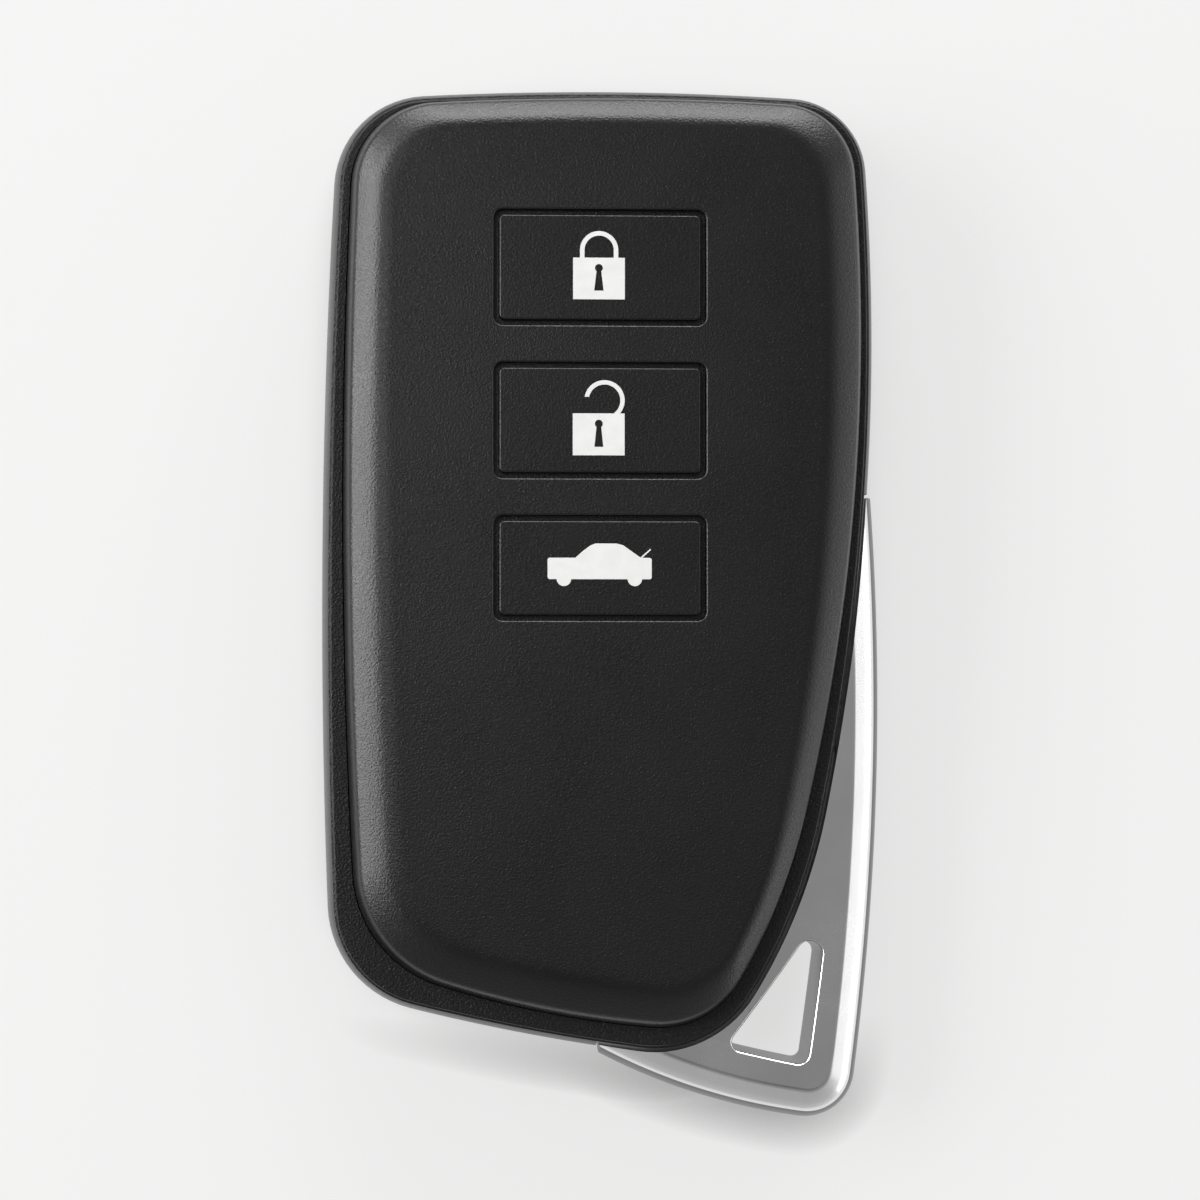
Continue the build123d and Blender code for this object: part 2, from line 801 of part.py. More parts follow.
def coin_cell():
    """Round cell: can above, smaller lid below."""
    radius = cell_diameter / 2
    lid_radius = radius * cell_lid_share
    points = (
        (0, cell_base),
        (lid_radius, cell_base),
        (lid_radius, cell_base + cell_lid_height),
        (radius, cell_base + cell_lid_height),
        (radius, cell_top),
        (0, cell_top),
    )
    return revolved(points, cell_x, cell_y)


def holder_outline(low, high):
    """Eight-sided block round the cell's place, flat toward the board's edges."""
    shape = RegularPolygon(holder_radius, holder_sides, major_radius=False, rotation=180 / holder_sides)
    return extrude(Pos(cell_x, cell_y, low) * shape, high - low, dir=(0, 0, 1))


def battery_holder():
    """Eight-sided wall on the board round the cell, open where the positive contact rises."""
    room = Pos(cell_x, cell_y, board_top) * Cylinder(holder_radius - holder_wall, rim_height * 2)
    gap = block(
        cell_x - holder_radius * 2, cell_x, cell_y - holder_slot / 2, cell_y + holder_slot / 2,
        board_top - overrun, holder_top + overrun,
    )
    return holder_outline(board_top, holder_top) - room - gap


def battery_cover():
    """Lid on the holder, with a slot for a coin."""
    top = holder_top + battery_cover_thickness
    slot_length = coin_slot_share * cell_diameter
    return holder_outline(holder_top, top) - block(
        cell_x - slot_length / 2, cell_x + slot_length / 2, cell_y - coin_slot_width / 2,
        cell_y + coin_slot_width / 2, top - coin_slot_depth, top + overrun,
    )


def positive_contact():
    """Sheet strip beside the cell, bent in over the can's top."""
    left = cell_x - cell_diameter / 2 - contact_gap - contact_sheet
    low = cell_y - contact_width / 2
    high = cell_y + contact_width / 2
    hook_level = cell_top + contact_gap
    strip = block(left, left + contact_sheet, low, high, board_top, hook_level + contact_sheet)
    strip += block(
        left, left + contact_hook, low, high, hook_level, hook_level + contact_sheet
    )
    return strip


def negative_contact():
    """Sheet plate on the board with two fingers raised against the cell."""
    plate = block(
        cell_x - contact_width, cell_x + contact_width, cell_y - contact_width, cell_y + contact_width,
        board_top, board_top + contact_sheet,
    )
    for turn in (-1, 1):
        finger = Polyline(
            (turn * contact_width / 4, 0, contact_sheet / 2),
            (turn * contact_width, 0, negative_rise - contact_gap),
            (turn * contact_width / 2, 0, negative_rise - contact_gap),
            (0, 0, contact_sheet / 2),
            close=True,
        )
        raised = extrude(make_face(finger), contact_width / 2, both=True)
        plate += Pos(cell_x, cell_y, board_top) * raised
    return plate


def on_board(name):
    """Place of a part on the board."""
    x_share, y_share = board_place_shares[name]
    return x_share * case_width, y_share * case_length


def control_chip():
    """Square chip with a row of legs on two sides."""
    x, y = on_board("control_chip")
    half = control_chip_size / 2
    chip = block(
        x - half, x + half, y - half, y + half, board_top + leg_thickness,
        board_top + leg_thickness + control_chip_height,
    )
    reach = half + leg_length
    pitch = control_chip_size / leg_count
    for i in range(leg_count):
        place = y - half + pitch * (i + 0.5)
        chip += block(
            x - reach, x + reach, place - leg_width / 2, place + leg_width / 2,
            board_top, board_top + leg_thickness,
        )
    return chip


def radio_chip():
    """Flat square chip with a bevelled top."""
    x, y = on_board("radio_chip")
    half = radio_chip_size / 2
    chip = block(x - half, x + half, y - half, y + half, board_top, board_top + radio_chip_height)
    return chamfer(chip.edges().group_by(Axis.Z)[-1], chip_bevel)


def crystal():
    """Ceramic box with a smaller metal lid."""
    x, y = on_board("crystal")
    can = block(
        x - crystal_length / 2, x + crystal_length / 2, y - crystal_width / 2, y + crystal_width / 2,
        board_top, board_top + crystal_height - crystal_lid_height,
    )
    inset = crystal_lid_inset
    can += block(
        x - crystal_length / 2 + inset, x + crystal_length / 2 - inset,
        y - crystal_width / 2 + inset, y + crystal_width / 2 - inset,
        board_top, board_top + crystal_height,
    )
    return can


def chip_parts(name):
    """A row of small parts soldered on the board, as separate solids."""
    x, y = on_board(name)
    row = []
    for i in range(chip_part_count):
        low = y - chip_part_pitch * i
        row.append(
            block(
                x - chip_part_length / 2, x + chip_part_length / 2, low - chip_part_width / 2,
                low + chip_part_width / 2, board_top, board_top + chip_part_height,
            )
        )
    return Compound(children=row)


def coil_core(length, width, height):
    """Ferrite bar along X with a wider flange at each end, its top at level zero."""
    neck = block(
        -length / 2, length / 2, -width / 2 + coil_neck, width / 2 - coil_neck,
        -height + coil_neck, -coil_neck,
    )
    for turn in (-1, 1):
        middle = turn * (length - coil_flange) / 2
        neck += block(
            middle - coil_flange / 2, middle + coil_flange / 2, -width / 2, width / 2, -height, 0
        )
    return neck


def coil_winding(length, width, height):
    """Wire wound round the bar between its flanges, ribbed like its turns."""
    span = length - 2 * coil_flange
    pitch = span / coil_ribs
    wound = None
    for i in range(coil_ribs):
        for part, inset in ((0, coil_rib_step * 2), (1, coil_rib_step)):
            low = -span / 2 + pitch * (i + part / 2)
            side = width / 2 - inset
            rib = block(low, low + pitch / 2, -side, side, -height + inset, -inset)
            wound = rib if wound is None else wound + rib
    return wound - block(
        -length, length, -width / 2 + coil_neck, width / 2 - coil_neck, -height + coil_neck, -coil_neck
    )


def radio_antenna():
    """Thin strip along the board's upper edge."""
    inset = seat_width + frame_gap + board_gap + antenna_width
    strip = outline_block(cover_edge, -inset, board_top, board_top + antenna_thickness)
    strip -= outline_block(cover_edge, -inset - antenna_width, board_top - overrun, board_top + overrun)
    first_centre_y = button_rows[0][1]
    return strip & block(-case_width, case_width, first_centre_y, case_length, 0, rim_height)


def parts():
    """Every node's name and solid."""
    made = {
        "rear_case": rear_case(),
        "front_cover": front_cover(),
        "seal_gasket": seal_gasket(),
        "inner_frame": inner_frame(),
        "circuit_board": circuit_board(),
        "keypad_mat": keypad_mat(),
        "key_head": key_head(),
        "key_blade": key_blade(),
        "key_catch": key_catch(),
        "release_slider": release_slider(),
        "release_spring": release_spring(),
        "coin_cell": coin_cell(),
        "battery_holder": battery_holder(),
        "battery_cover": battery_cover(),
        "positive_contact": positive_contact(),
        "negative_contact": negative_contact(),
        "control_chip": control_chip(),
        "radio_chip": radio_chip(),
        "crystal": crystal(),
        "chip_capacitors": chip_parts("chip_capacitors"),
        "chip_resistors": chip_parts("chip_resistors"),
        "radio_antenna": radio_antenna(),
    }
    for name, centre_y, height in button_rows:
        made[name + "_button"] = button_cap(centre_y, height)
        made[name + "_plunger"] = plunger(centre_y)
        made[name + "_skirt"] = flexing_skirt(centre_y)
        made[name + "_snap_dome"] = snap_dome(centre_y)
    coils = {
        "wake_coil_x": (coil_length, coil_width, under_board_room - coil_clearance, False),
        "wake_coil_y": (coil_length, coil_width, under_board_room - coil_clearance, True),
        "transponder": (
            transponder_length, transponder_width, under_board_room - transponder_clearance, True,
        ),
    }
    for name, (length, width, height, along_case) in coils.items():
        x, y = on_board(name)
        place = Pos(x, y, board_base) * Rot(0, 0, 90 if along_case else 0)
        made[name + "_core"] = place * coil_core(length, width, height)
        made[name + "_winding"] = place * coil_winding(length, width, height)
    return made


os.makedirs("parts", exist_ok=True)
for node, solid in parts().items():
    export_step(solid, "parts/" + node + ".step")
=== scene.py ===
import bmesh
import bpy
import json
import math
from mathutils import Matrix, Vector


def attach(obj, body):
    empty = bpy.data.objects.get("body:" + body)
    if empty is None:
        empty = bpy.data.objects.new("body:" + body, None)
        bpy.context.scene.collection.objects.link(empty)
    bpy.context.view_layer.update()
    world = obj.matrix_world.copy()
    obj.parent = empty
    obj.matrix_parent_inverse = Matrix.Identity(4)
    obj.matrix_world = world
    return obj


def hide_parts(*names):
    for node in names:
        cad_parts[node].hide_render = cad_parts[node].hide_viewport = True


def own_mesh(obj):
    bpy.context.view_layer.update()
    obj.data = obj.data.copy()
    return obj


# A car key fob on its back: black plastic case, three printed buttons and a satin metal key head.
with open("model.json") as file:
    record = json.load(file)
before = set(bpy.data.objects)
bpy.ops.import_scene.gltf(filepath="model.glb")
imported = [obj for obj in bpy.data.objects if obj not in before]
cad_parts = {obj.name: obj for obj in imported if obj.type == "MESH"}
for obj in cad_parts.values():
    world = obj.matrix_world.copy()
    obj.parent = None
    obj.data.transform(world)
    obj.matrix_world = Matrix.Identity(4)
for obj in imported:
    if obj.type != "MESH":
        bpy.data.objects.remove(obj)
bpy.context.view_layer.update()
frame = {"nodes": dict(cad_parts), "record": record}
print("frame loaded:", len(frame["nodes"]), "parts")

# The fob's lengths are in millimetres, those of the floor, lamps and camera in metres
mm = 0.001
caseWidth = 42.4
caseLength = 74.8
cornerSteps = 14  # points round a corner
sideSteps = 26  # points along a side
leastRound = 0.05  # a corner that is moved inward keeps this radius
far = 60  # cutters reach past every edge
through = (-2, 12)  # levels of a cutter that goes right through the fob
beyond = (-4, 14)  # levels of one that trims such a cutter
overshoot = 1  # other cutters end this far outside the surface

# Corners of each outline: place as shares of the case, then radius and bulge of the next side
outlines = {
    "rim": (
        (-0.471, 0.520, 0.160, 0.0189),
        (0.476, 0.5215, 0.1325, 0.0491),
        (0.408, -0.224, 0, 0.0302),
        (0.196, -0.4755, 0.2075, 0.0158),
        (-0.484, -0.400, 0.188, 0.0231),
    ),
    "cover": (
        (-0.456, 0.5172, 0.159, 0.0180),
        (0.463, 0.5197, 0.1375, 0.0554),
        (0.3815, -0.223, 0, 0.0219),
        (0.1975, -0.451, 0.172, 0.0302),
        (-0.449, -0.372, 0.227, 0.0250),
    ),
    "face": (
        (-0.374, 0.4790, 0.130, 0.0118),
        (0.373, 0.4810, 0.118, 0.0450),
        (0.311, -0.227, 0, 0.0165),
        (0.193, -0.394, 0.142, 0.0189),
        (-0.343, -0.332, 0.189, 0.0165),
    ),
    "head": (
        (0.495, 0.214, 0, 0.0426),
        (0.4665, -0.550, 0.092, 0.0436),
        (-0.124, -0.4345, 0, 0.0012),
    ),
    "ringHole": (
        (0.4245, -0.3195, 0.0235, 0.0012),
        (0.3855, -0.4900, 0.0212, 0.0012),
        (0.2317, -0.4704, 0.0177, -0.0030),
    ),
}


# An outline's corners in millimetres
def corners(name):
    made = []
    for x, y, radius, bulge in outlines[name]:
        made.append((Vector((x * caseWidth, y * caseLength)), radius * caseWidth, bulge * caseWidth))
    return made


# Corners on the way from one outline to another
def between(first, second, share):
    return [(a[0].lerp(b[0], share), a[1] + (b[1] - a[1]) * share, a[2] + (b[2] - a[2]) * share)
            for a, b in zip(first, second)]


# Circle that a bulged side lies on
def sideCircle(start, end, bulge):
    chord = end - start
    radius = ((chord.length / 2) ** 2 + bulge ** 2) / (2 * bulge)
    outward = Vector((-chord.y, chord.x)).normalized()
    return (start + end) / 2 + outward * (bulge - radius), radius


# Centre of the round that touches the circles of two sides
def cornerCentre(sideA, sideB, radius, corner):
    reachA = abs(sideA[1] - radius)
    reachB = abs(sideB[1] - radius)
    gap = sideB[0] - sideA[0]
    along = (gap.length_squared + reachA ** 2 - reachB ** 2) / (2 * gap.length)
    across = math.sqrt(max(reachA ** 2 - along ** 2, 0))
    unit = gap.normalized()
    normal = Vector((-unit.y, unit.x))
    picks = [sideA[0] + unit * along + normal * across * turn for turn in (-1, 1)]
    return min(picks, key=lambda place: (place - corner).length)


def arc(centre, start, end, steps):
    first = math.atan2(start.y - centre.y, start.x - centre.x)
    turn = math.atan2(end.y - centre.y, end.x - centre.x) - first
    turn = (turn + math.pi) % (2 * math.pi) - math.pi
    radius = (start - centre).length
    made = []
    for i in range(steps):
        angle = first + turn * i / steps
        made.append(centre + Vector((math.cos(angle), math.sin(angle))) * radius)
    return made


# Points round an outline in millimetres, every side moved outward by growth
def outline(rows, growth=0.0):
    count = len(rows)
    sides = []
    for i in range(count):
        centre, radius = sideCircle(rows[i][0], rows[(i + 1) % count][0], rows[i][2])
        sides.append((centre, radius + growth))
    rounds = []
    for i, (place, radius, bulge) in enumerate(rows):
        turnRadius = max(radius + growth, leastRound) if radius else 0
        pair = (sides[i - 1], sides[i])
        centre = cornerCentre(*pair, turnRadius, place)
        touch = [side[0] + (centre - side[0]).normalized() * abs(side[1]) for side in pair]
        rounds.append((centre, turnRadius, touch[0], touch[1]))
    points = []
    for i in range(count):
        centre, radius, enter, leave = rounds[i]
        if radius:
            points += arc(centre, enter, leave, cornerSteps)
        points += arc(sides[i][0], leave, rounds[(i + 1) % count][2], sideSteps)
    return points


def roundedRectangle(centreX, centreY, width, height, radius, steps=6):
    points = []
    for turn, (signX, signY) in enumerate(((1, 1), (-1, 1), (-1, -1), (1, -1))):
        x = centreX + signX * (width / 2 - radius)
        y = centreY + signY * (height / 2 - radius)
        for i in range(steps + 1):
            angle = math.pi / 2 * (turn + i / steps)
            points.append(Vector((x + radius * math.cos(angle), y + radius * math.sin(angle))))
    return points


def addObject(name, data):
    piece = bpy.data.objects.new(name, data)
    bpy.context.scene.collection.objects.link(piece)
    return piece


# Mesh of an object with its modifiers or fills worked out
def evaluatedMesh(piece):
    bpy.context.view_layer.update()
    return bpy.data.meshes.new_from_object(piece.evaluated_get(bpy.context.evaluated_depsgraph_get()))


# Closed mesh through loops of (points, level), with flat ends
def stack(name, loops):
    mesh = bpy.data.meshes.new(name)
    build = bmesh.new()
    rings = [[build.verts.new((p.x * mm, p.y * mm, level * mm)) for p in points]
             for points, level in loops]
    for low, high in zip(rings, rings[1:]):
        for i in range(len(low)):
            j = (i + 1) % len(low)
            build.faces.new((low[i], low[j], high[j], high[i]))
    build.faces.new(list(reversed(rings[0])))
    build.faces.new(rings[-1])
    bmesh.ops.recalc_face_normals(build, faces=build.faces)
    build.to_mesh(mesh)
    build.free()
    return addObject(name, mesh)


def prism(points, low, high, name="cutter"):
    return stack(name, [(points, low), (points, high)])


def box(left, right, front, back, low, high):
    base = ((left, front), (right, front), (right, back), (left, back))
    return prism([Vector(place) for place in base], low, high)


def carve(piece, cutters):
    for cutter in cutters:
        modifier = piece.modifiers.new("carve", "BOOLEAN")
        modifier.operation = "DIFFERENCE"
        modifier.solver = "EXACT"
        modifier.object = cutter
    made = evaluatedMesh(piece)
    piece.modifiers.clear()
    piece.data = made
    for cutter in cutters:
        bpy.data.objects.remove(cutter)
    return piece


# Smooth shading that keeps edges sharper than the angle in degrees, and the piece's body and slot
def finishMesh(piece, body, material, angle=32):
    piece.data.materials.clear()
    piece.data.materials.append(material)
    for face in piece.data.polygons:
        face.use_smooth = True
    piece.data.set_sharp_from_angle(angle=math.radians(angle))
    normals = piece.modifiers.new("normals", "WEIGHTED_NORMAL")
    normals.keep_sharp = True
    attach(piece, body)


# Faces that the test picks get a second material: a smoother finish on the case's side, painted shade
# on the key head's side
def finishFaces(piece, material, test):
    piece.data.materials.append(material)
    for face in piece.data.polygons:
        if test(face):
            face.material_index = 1


def addNode(tree, kind, values=None, **settings):
    node = tree.nodes.new(kind)
    for key, value in settings.items():
        setattr(node, key, value)
    for key, value in (values or {}).items():
        if isinstance(value, bpy.types.NodeSocket):
            tree.links.new(value, node.inputs[key])
        else:
            node.inputs[key].default_value = value
    return node


def newGroup(name, inputs, outputs):
    tree = bpy.data.node_groups.new(name, "ShaderNodeTree")
    for socket in inputs:
        tree.interface.new_socket(socket, in_out="INPUT", socket_type="NodeSocketFloat")
    for socket in outputs:
        tree.interface.new_socket(socket, in_out="OUTPUT", socket_type="NodeSocketFloat")
    return tree, tree.nodes.new("NodeGroupInput"), tree.nodes.new("NodeGroupOutput")


def mathNode(tree, operation, first, second):
    return addNode(tree, "ShaderNodeMath", {0: first, 1: second}, operation=operation).outputs[0]


# Map a value from one range to another, each as (start, end)
def mapRange(tree, value, source=(0.0, 1.0), target=(0.0, 1.0), **settings):
    values = {"Value": value, "From Min": source[0], "From Max": source[1],
              "To Min": target[0], "To Max": target[1]}
    return addNode(tree, "ShaderNodeMapRange", values, **settings).outputs[0]


def objectPlace(tree):
    return addNode(tree, "ShaderNodeTexCoord").outputs["Object"]


# Fine spark-eroded grain of a moulded skin, and the pits in it
grainLook = {"detail": 2.0, "roughness": 0.6, "cellScale": 0.8, "cellSmooth": 0.5, "pits": (0.3, 0.7)}


def makeGrainGroup():
    tree, given, result = newGroup("mouldedGrain", ("Scale", "Break"), ("Height", "Pits"))
    place = objectPlace(tree)
    noise = addNode(tree, "ShaderNodeTexNoise",
                    {"Vector": place, "Scale": given.outputs["Scale"],
                     "Detail": grainLook["detail"], "Roughness": grainLook["roughness"]})
    cellScale = mathNode(tree, "MULTIPLY", given.outputs["Scale"], grainLook["cellScale"])
    cells = addNode(tree, "ShaderNodeTexVoronoi",
                    {"Vector": place, "Scale": cellScale, "Smoothness": grainLook["cellSmooth"]},
                    feature="SMOOTH_F1")
    share = mathNode(tree, "MULTIPLY", cells.outputs["Distance"], given.outputs["Break"])
    height = mathNode(tree, "SUBTRACT", noise.outputs["Fac"], share)
    pits = mapRange(tree, cells.outputs["Distance"], grainLook["pits"])
    tree.links.new(height, result.inputs["Height"])
    tree.links.new(pits, result.inputs["Pits"])
    return tree


# Wide, faint marks of handling
handlingLook = {"detail": 4.0, "roughness": 0.55, "contrast": (0.3, 0.7)}


def makeHandlingGroup():
    tree, given, result = newGroup("handling", ("Scale",), ("Mask",))
    wide = addNode(tree, "ShaderNodeTexNoise",
                   {"Vector": objectPlace(tree), "Scale": given.outputs["Scale"],
                    "Detail": handlingLook["detail"], "Roughness": handlingLook["roughness"]})
    mask = mapRange(tree, wide.outputs["Fac"], handlingLook["contrast"])
    tree.links.new(mask, result.inputs["Mask"])
    return tree


# Edges that are rubbed smooth
def makeEdgeGroup():
    tree, given, result = newGroup("edgeRub", ("Low", "High"), ("Mask",))
    shape = addNode(tree, "ShaderNodeNewGeometry")
    mask = mapRange(tree, shape.outputs["Pointiness"], (given.outputs["Low"], given.outputs["High"]))
    tree.links.new(mask, result.inputs["Mask"])
    return tree


# Brushed lines that run along y
brushLook = {"detail": 5.0, "roughness": 0.7}


def makeBrushGroup():
    tree, given, result = newGroup("brushing", ("Scale", "Stretch"), ("Lines",))
    split = addNode(tree, "ShaderNodeSeparateXYZ", {0: objectPlace(tree)})
    along = mathNode(tree, "MULTIPLY", split.outputs["Y"], given.outputs["Stretch"])
    joined = addNode(tree, "ShaderNodeCombineXYZ",
                     {"X": split.outputs["X"], "Y": along, "Z": split.outputs["Z"]})
    lines = addNode(tree, "ShaderNodeTexNoise",
                    {"Vector": joined.outputs[0], "Scale": given.outputs["Scale"],
                     "Detail": brushLook["detail"], "Roughness": brushLook["roughness"]})
    tree.links.new(lines.outputs["Fac"], result.inputs["Lines"])
    return tree


groups = {
    "grain": makeGrainGroup(),
    "handling": makeHandlingGroup(),
    "edgeRub": makeEdgeGroup(),
    "brushing": makeBrushGroup(),
}


def useGroup(tree, name, values):
    node = addNode(tree, "ShaderNodeGroup", node_tree=groups[name])
    for key, value in values.items():
        node.inputs[key].default_value = value
    return node


def newMaterial(name):
    material = bpy.data.materials.new(name)
    material.use_nodes = True
    tree = material.node_tree
    return material, tree, tree.nodes["Principled BSDF"]


def mixColours(tree, mask, first, second):
    mix = addNode(tree, "ShaderNodeMix", data_type="RGBA")
    tree.links.new(mask, mix.inputs["Factor"])
    for socket, colour in ((mix.inputs[6], first), (mix.inputs[7], second)):
        if isinstance(colour, bpy.types.NodeSocket):
            tree.links.new(colour, socket)
        else:
            socket.default_value = (*colour, 1)
    return mix.outputs[2]


# Roughness that varies with a mask between two offsets from its level
def setRoughness(tree, shader, mask, level, offsets):
    target = (level + offsets[0], level + offsets[1])
    tree.links.new(mapRange(tree, mask, target=target), shader.inputs["Roughness"])


# Bump, its depth in millimetres
def setBump(tree, shader, height, strength, depth):
    bump = addNode(tree, "ShaderNodeBump",
                   {"Height": height, "Strength": strength, "Distance": depth * mm})
    tree.links.new(bump.outputs[0], shader.inputs["Normal"])


# What all plastics and all metals share: marks of handling, rubbed edges, uneven roughness
plasticWear = {"marks": 90.0, "rubLow": 0.52, "rubHigh": 0.62, "rubShare": 0.35,
               "roughness": (-0.05, 0.06)}
metalWear = {"roughness": (-0.04, 0.08)}


def mouldedPlastic(name, look):
    material, tree, shader = newMaterial(name)
    grain = useGroup(tree, "grain", {"Scale": look["grain"], "Break": look["breakUp"]})
    marks = useGroup(tree, "handling", {"Scale": plasticWear["marks"]})
    rub = useGroup(tree, "edgeRub", {"Low": plasticWear["rubLow"], "High": plasticWear["rubHigh"]})
    tone = mixColours(tree, marks.outputs["Mask"], look["colour"], look["colourWorn"])
    pitted = mixColours(tree, grain.outputs["Pits"], tone, look["colourPits"])
    rubShare = mapRange(tree, rub.outputs["Mask"], target=(0.0, plasticWear["rubShare"]))
    rubbed = mixColours(tree, rubShare, pitted, look["colourWorn"])
    tree.links.new(rubbed, shader.inputs["Base Color"])
    uneven = mathNode(tree, "ADD", marks.outputs["Mask"], grain.outputs["Pits"])
    setRoughness(tree, shader, uneven, look["roughness"], plasticWear["roughness"])
    setBump(tree, shader, grain.outputs["Height"], look["bump"], look["depth"])
    shader.inputs["Specular IOR Level"].default_value = look["specular"]
    return material


def satinMetal(name, look):
    material, tree, shader = newMaterial(name)
    lines = useGroup(tree, "brushing", {"Scale": look["lines"], "Stretch": look["stretch"]})
    marks = useGroup(tree, "handling", {"Scale": look["marks"]})
    tone = mixColours(tree, marks.outputs["Mask"], look["colour"], look["colourWorn"])
    tree.links.new(tone, shader.inputs["Base Color"])
    shader.inputs["Metallic"].default_value = 1.0
    uneven = mathNode(tree, "MULTIPLY", marks.outputs["Mask"], lines.outputs["Lines"])
    setRoughness(tree, shader, uneven, look["roughness"], metalWear["roughness"])
    setBump(tree, shader, lines.outputs["Lines"], look["bump"], look["depth"])
    return material


plasticLooks = {
    "cover": {"colour": (0.0025, 0.0025, 0.0026), "colourWorn": (0.004, 0.004, 0.0041),
              "colourPits": (0.001, 0.001, 0.001), "grain": 6200.0, "breakUp": 0.3, "bump": 1.0,
              "depth": 0.032, "roughness": 0.26, "specular": 0.6},
    "case": {"colour": (0.005, 0.005, 0.0052), "colourWorn": (0.0075, 0.0075, 0.0077),
             "colourPits": (0.002, 0.002, 0.002), "grain": 5600.0, "breakUp": 0.3, "bump": 1.0,
             "depth": 0.075, "roughness": 0.34, "specular": 0.4},
    "side": {"colour": (0.006, 0.006, 0.0062), "colourWorn": (0.009, 0.009, 0.0093),
             "colourPits": (0.004, 0.004, 0.0042), "grain": 7000.0, "breakUp": 0.8, "bump": 0.1,
             "depth": 0.03, "roughness": 0.3, "specular": 1.0},
    "cap": {"colour": (0.0025, 0.0025, 0.0026), "colourWorn": (0.004, 0.004, 0.0041),
            "colourPits": (0.001, 0.001, 0.001), "grain": 6200.0, "breakUp": 0.3, "bump": 1.0,
            "depth": 0.028, "roughness": 0.26, "specular": 0.55},
    "slider": {"colour": (0.008, 0.008, 0.0085), "colourWorn": (0.013, 0.013, 0.0135),
               "colourPits": (0.005, 0.005, 0.005), "grain": 2600.0, "breakUp": 0.9, "bump": 0.4,
               "depth": 0.04, "roughness": 0.45, "specular": 0.45},
    "frame": {"colour": (0.055, 0.056, 0.058), "colourWorn": (0.07, 0.071, 0.073),
              "colourPits": (0.04, 0.041, 0.042), "grain": 1800.0, "breakUp": 0.8, "bump": 0.3,
              "depth": 0.04, "roughness": 0.5, "specular": 0.45},
    "silicone": {"colour": (0.28, 0.29, 0.29), "colourWorn": (0.33, 0.34, 0.34),
                 "colourPits": (0.24, 0.25, 0.25), "grain": 1500.0, "breakUp": 1.0, "bump": 0.2,
                 "depth": 0.03, "roughness": 0.55, "specular": 0.4},
    "seal": {"colour": (0.02, 0.02, 0.021), "colourWorn": (0.03, 0.03, 0.031),
             "colourPits": (0.014, 0.014, 0.014), "grain": 2200.0, "breakUp": 1.0, "bump": 0.2,
             "depth": 0.03, "roughness": 0.6, "specular": 0.4},
    "chip": {"colour": (0.018, 0.018, 0.019), "colourWorn": (0.026, 0.026, 0.027),
             "colourPits": (0.012, 0.012, 0.012), "grain": 5200.0, "breakUp": 1.2, "bump": 0.3,
             "depth": 0.02, "roughness": 0.48, "specular": 0.45},
    "ferrite": {"colour": (0.035, 0.035, 0.036), "colourWorn": (0.05, 0.05, 0.051),
                "colourPits": (0.02, 0.02, 0.02), "grain": 6400.0, "breakUp": 1.4, "bump": 0.4,
                "depth": 0.02, "roughness": 0.62, "specular": 0.5},
    "ceramic": {"colour": (0.42, 0.36, 0.28), "colourWorn": (0.5, 0.44, 0.35),
                "colourPits": (0.34, 0.29, 0.22), "grain": 5200.0, "breakUp": 1.2, "bump": 0.2,
                "depth": 0.02, "roughness": 0.45, "specular": 0.5},
}
metalLooks = {
    "head": {"colour": (0.82, 0.82, 0.825), "colourWorn": (0.86, 0.86, 0.863), "lines": 5200.0,
             "stretch": 0.55, "marks": 160.0, "bump": 0.12, "depth": 0.02, "roughness": 0.27},
    # The head's steep sides get painted shade: a dark grey metal that stands for the shadowed floor
    # they reflect
    "headSidePaintedShade": {"colour": (0.17, 0.17, 0.173), "colourWorn": (0.22, 0.22, 0.223), "lines": 5200.0,
                 "stretch": 0.55, "marks": 160.0, "bump": 0.12, "depth": 0.02, "roughness": 0.34},
    "blade": {"colour": (0.5, 0.5, 0.5), "colourWorn": (0.6, 0.6, 0.59), "lines": 5200.0,
              "stretch": 0.04, "marks": 240.0, "bump": 0.25, "depth": 0.02, "roughness": 0.3},
    "spring": {"colour": (0.55, 0.54, 0.52), "colourWorn": (0.62, 0.61, 0.58), "lines": 6400.0,
               "stretch": 0.1, "marks": 400.0, "bump": 0.1, "depth": 0.01, "roughness": 0.25},
    "cell": {"colour": (0.6, 0.6, 0.59), "colourWorn": (0.68, 0.68, 0.66), "lines": 4800.0,
             "stretch": 0.3, "marks": 200.0, "bump": 0.15, "depth": 0.02, "roughness": 0.28},
}

materials = {name: mouldedPlastic(name + "Plastic", look) for name, look in plasticLooks.items()}
materials.update({name: satinMetal(name + "Metal", look) for name, look in metalLooks.items()})

boardLook = {"traces": 520.0, "traceGap": 0.035, "traceWidth": 1.4, "traceRow": 0.5,
             "weave": 3600.0, "breakUp": 0.6, "colour": (0.012, 0.07, 0.03),
             "colourTraces": (0.03, 0.13, 0.055), "bump": 0.2, "depth": 0.02, "roughness": (0.28, 0.4)}


# Circuit board: green lacquer over a weave, with copper tracks showing through
def makeBoard():
    material, tree, shader = newMaterial("boardLaminate")
    traces = addNode(tree, "ShaderNodeTexBrick",
                     {"Vector": objectPlace(tree), "Scale": boardLook["traces"],
                      "Mortar Size": boardLook["traceGap"], "Brick Width": boardLook["traceWidth"],
                      "Row Height": boardLook["traceRow"]})
    weave = useGroup(tree, "grain", {"Scale": boardLook["weave"], "Break": boardLook["breakUp"]})
    tone = mixColours(tree, traces.outputs["Fac"], boardLook["colour"], boardLook["colourTraces"])
    tree.links.new(tone, shader.inputs["Base Color"])
    height = mathNode(tree, "ADD", traces.outputs["Fac"], weave.outputs["Height"])
    setBump(tree, shader, height, boardLook["bump"], boardLook["depth"])
    setRoughness(tree, shader, weave.outputs["Pits"], 0, boardLook["roughness"])
    return material


